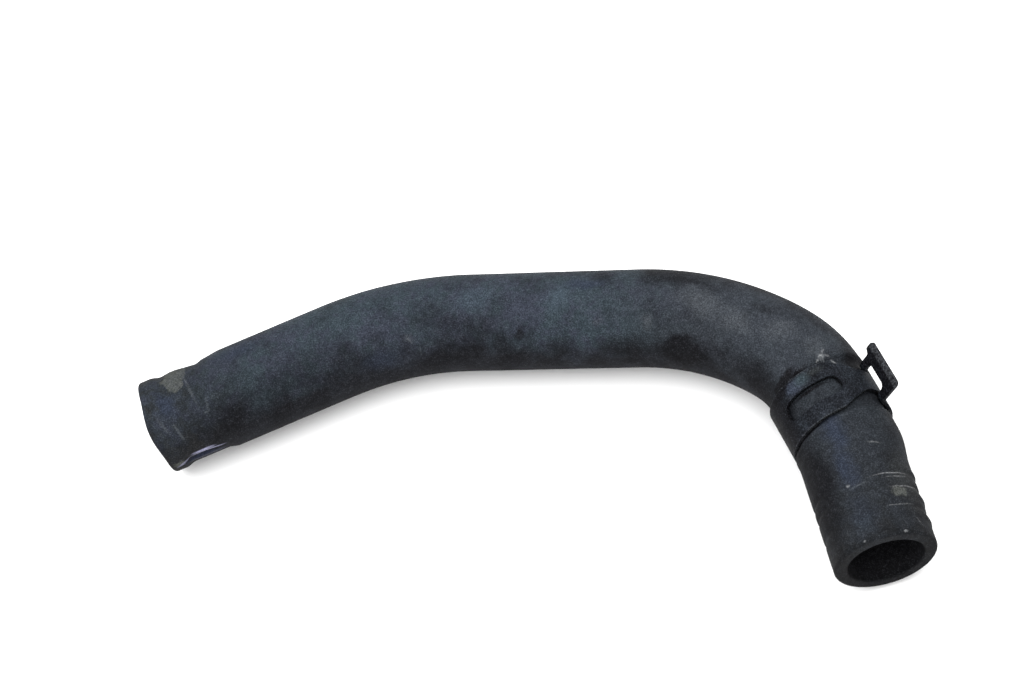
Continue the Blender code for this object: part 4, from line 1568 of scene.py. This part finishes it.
    def build(self) -> bpy.types.Object:
        """Return the finished clamp, riding on its body in place of its plain solid.

        Returns:
            The clamp's mesh object.
        """
        holder = self.blank()
        guide = route_curve("strip_route", self.middle_line())
        marks = tuple(((self.at_angle(mark.angle), mark.across * MM, 0.0), mark) for mark in self.marks)
        material = self.finish.material(self.thickness, self.width / 2, self.fork_ear_length, marks)
        add_tree(holder, self.bend_tree(), {"Route": guide, "Material": material})
        weighted = holder.modifiers.new("flat_faces", "WEIGHTED_NORMAL")
        weighted.weight = self.face_weight
        piece = plain_piece(holder, "band_clamp", self.hose.placement() @ self.hose.clamp_frame())
        bpy.data.objects.remove(guide, do_unlink=True)
        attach(piece, BODY)
        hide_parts(CLAMP_NODE)
        return piece


@dataclass(frozen=True)
class PaleFloor:
    """The plain pale surface that the hose lies on."""

    half_size: float = 3.0
    divisions: int = 8
    finish: FloorFinish = FloorFinish()

    def build(self) -> bpy.types.Object:
        """Build the floor and mark it as no part of the object.

        Returns:
            The floor's object.
        """
        shape = bmesh.new()
        count = self.divisions
        bmesh.ops.create_grid(shape, x_segments=count, y_segments=count, size=self.half_size)
        mesh = bpy.data.meshes.new("pale_floor")
        shape.to_mesh(mesh)
        shape.free()
        mesh.materials.append(self.finish.material())
        floor = link_object("pale_floor", mesh)
        floor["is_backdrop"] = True
        return floor


@dataclass(frozen=True)
class SoftBox:
    """One square area light that points at the object."""

    name: str
    place: Point
    size: float
    power: float
    colour: Colour = (1.0, 1.0, 1.0)

    def build(self) -> bpy.types.Object:
        """Build the light and point it at the object.

        Returns:
            The light's object.
        """
        light = bpy.data.lights.new(self.name, "AREA")
        light.shape = "SQUARE"
        light.size = self.size
        light.energy = self.power
        light.color = self.colour
        made = link_object(self.name, light)
        made.location = self.place
        made.rotation_mode = "QUATERNION"
        made.rotation_quaternion = (-Vector(self.place)).to_track_quat("-Z", "Y")
        return made


@dataclass(frozen=True)
class Studio:
    """Plain soft light: a bright surround and large boxes above and beside the object."""

    surround: float = 1.0
    boxes: tuple[SoftBox, ...] = (
        SoftBox("soft_top", (0.0, 0.15, 1.0), 1.5, 22.0),
        SoftBox("soft_left", (-0.9, -0.3, 0.6), 0.8, 2.0),
        SoftBox("soft_front", (0.2, -1.0, 0.55), 1.0, 4.0),
    )

    def build(self) -> None:
        """Light the scene and show colours as they are."""
        world = bpy.data.worlds.new("soft_surround")
        world.use_nodes = True
        back = world.node_tree.nodes["Background"]
        back.inputs["Color"].default_value = (1.0, 1.0, 1.0, 1.0)
        back.inputs["Strength"].default_value = self.surround
        bpy.context.scene.world = world
        bpy.context.scene.view_settings.view_transform = "Standard"
        for box in self.boxes:
            box.build()


@dataclass(frozen=True)
class PhotoCamera:
    """The camera at the photograph's viewing angle."""

    azimuth: float = -24.713
    elevation: float = 56.771
    roll: float = -22.333
    target: Point = (-5.557 * MM, 25.218 * MM, 13.5 * MM)
    distance: float = 642.37 * MM
    lens: float = 82.0
    sensor: float = 36.0
    nearest: float = 0.01
    farthest: float = 20.0

    def build(self) -> bpy.types.Object:
        """Build the camera and set it as the scene's own.

        Returns:
            The camera's object.
        """
        azimuth, elevation = math.radians(self.azimuth), math.radians(self.elevation)
        roll = math.radians(self.roll)
        level = math.cos(elevation)
        forward = Vector((math.sin(azimuth) * level, math.cos(azimuth) * level, -math.sin(elevation)))
        right = forward.cross(Vector(UPWARD)).normalized()
        up = right.cross(forward)
        rolled_right = right * math.cos(roll) + up * math.sin(roll)
        rolled_up = up * math.cos(roll) - right * math.sin(roll)
        data = bpy.data.cameras.new("photo_camera")
        data.lens = self.lens
        data.sensor_width = self.sensor
        data.clip_start = self.nearest
        data.clip_end = self.farthest
        camera = link_object("photo_camera", data)
        axes = Matrix((rolled_right, rolled_up, -forward)).transposed().to_4x4()
        camera.matrix_world = Matrix.Translation(Vector(self.target) - forward * self.distance) @ axes
        bpy.context.scene.camera = camera
        return camera


def corners(box: tuple[Vector, Vector]) -> list[list[float]]:
    """Return a box's two corners as plain lists of numbers."""
    return [list(corner) for corner in box]


def triangles(piece: bpy.types.Object) -> int:
    """Return how many triangles a piece's mesh has."""
    return sum(len(face.vertices) - 2 for face in piece.data.polygons)


def main() -> None:
    """Build the pieces, the floor, the light and the camera, and note the sizes."""
    logging.basicConfig(level=logging.INFO, format="%(name)s: %(message)s")
    cad_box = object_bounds()
    hose = CoolantHose()
    clamp = SpringBandClamp(hose)
    for builder in (hose, clamp):
        piece = builder.build()
        log.info("%s has %d triangles", piece.name, triangles(piece))
    PaleFloor().build()
    Studio().build()
    PhotoCamera().build()
    look_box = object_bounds()
    {"cad": corners(cad_box), "visual": corners(look_box)}
    log.info("visual box %s", corners(look_box))


if __name__ == "__main__":
    main()
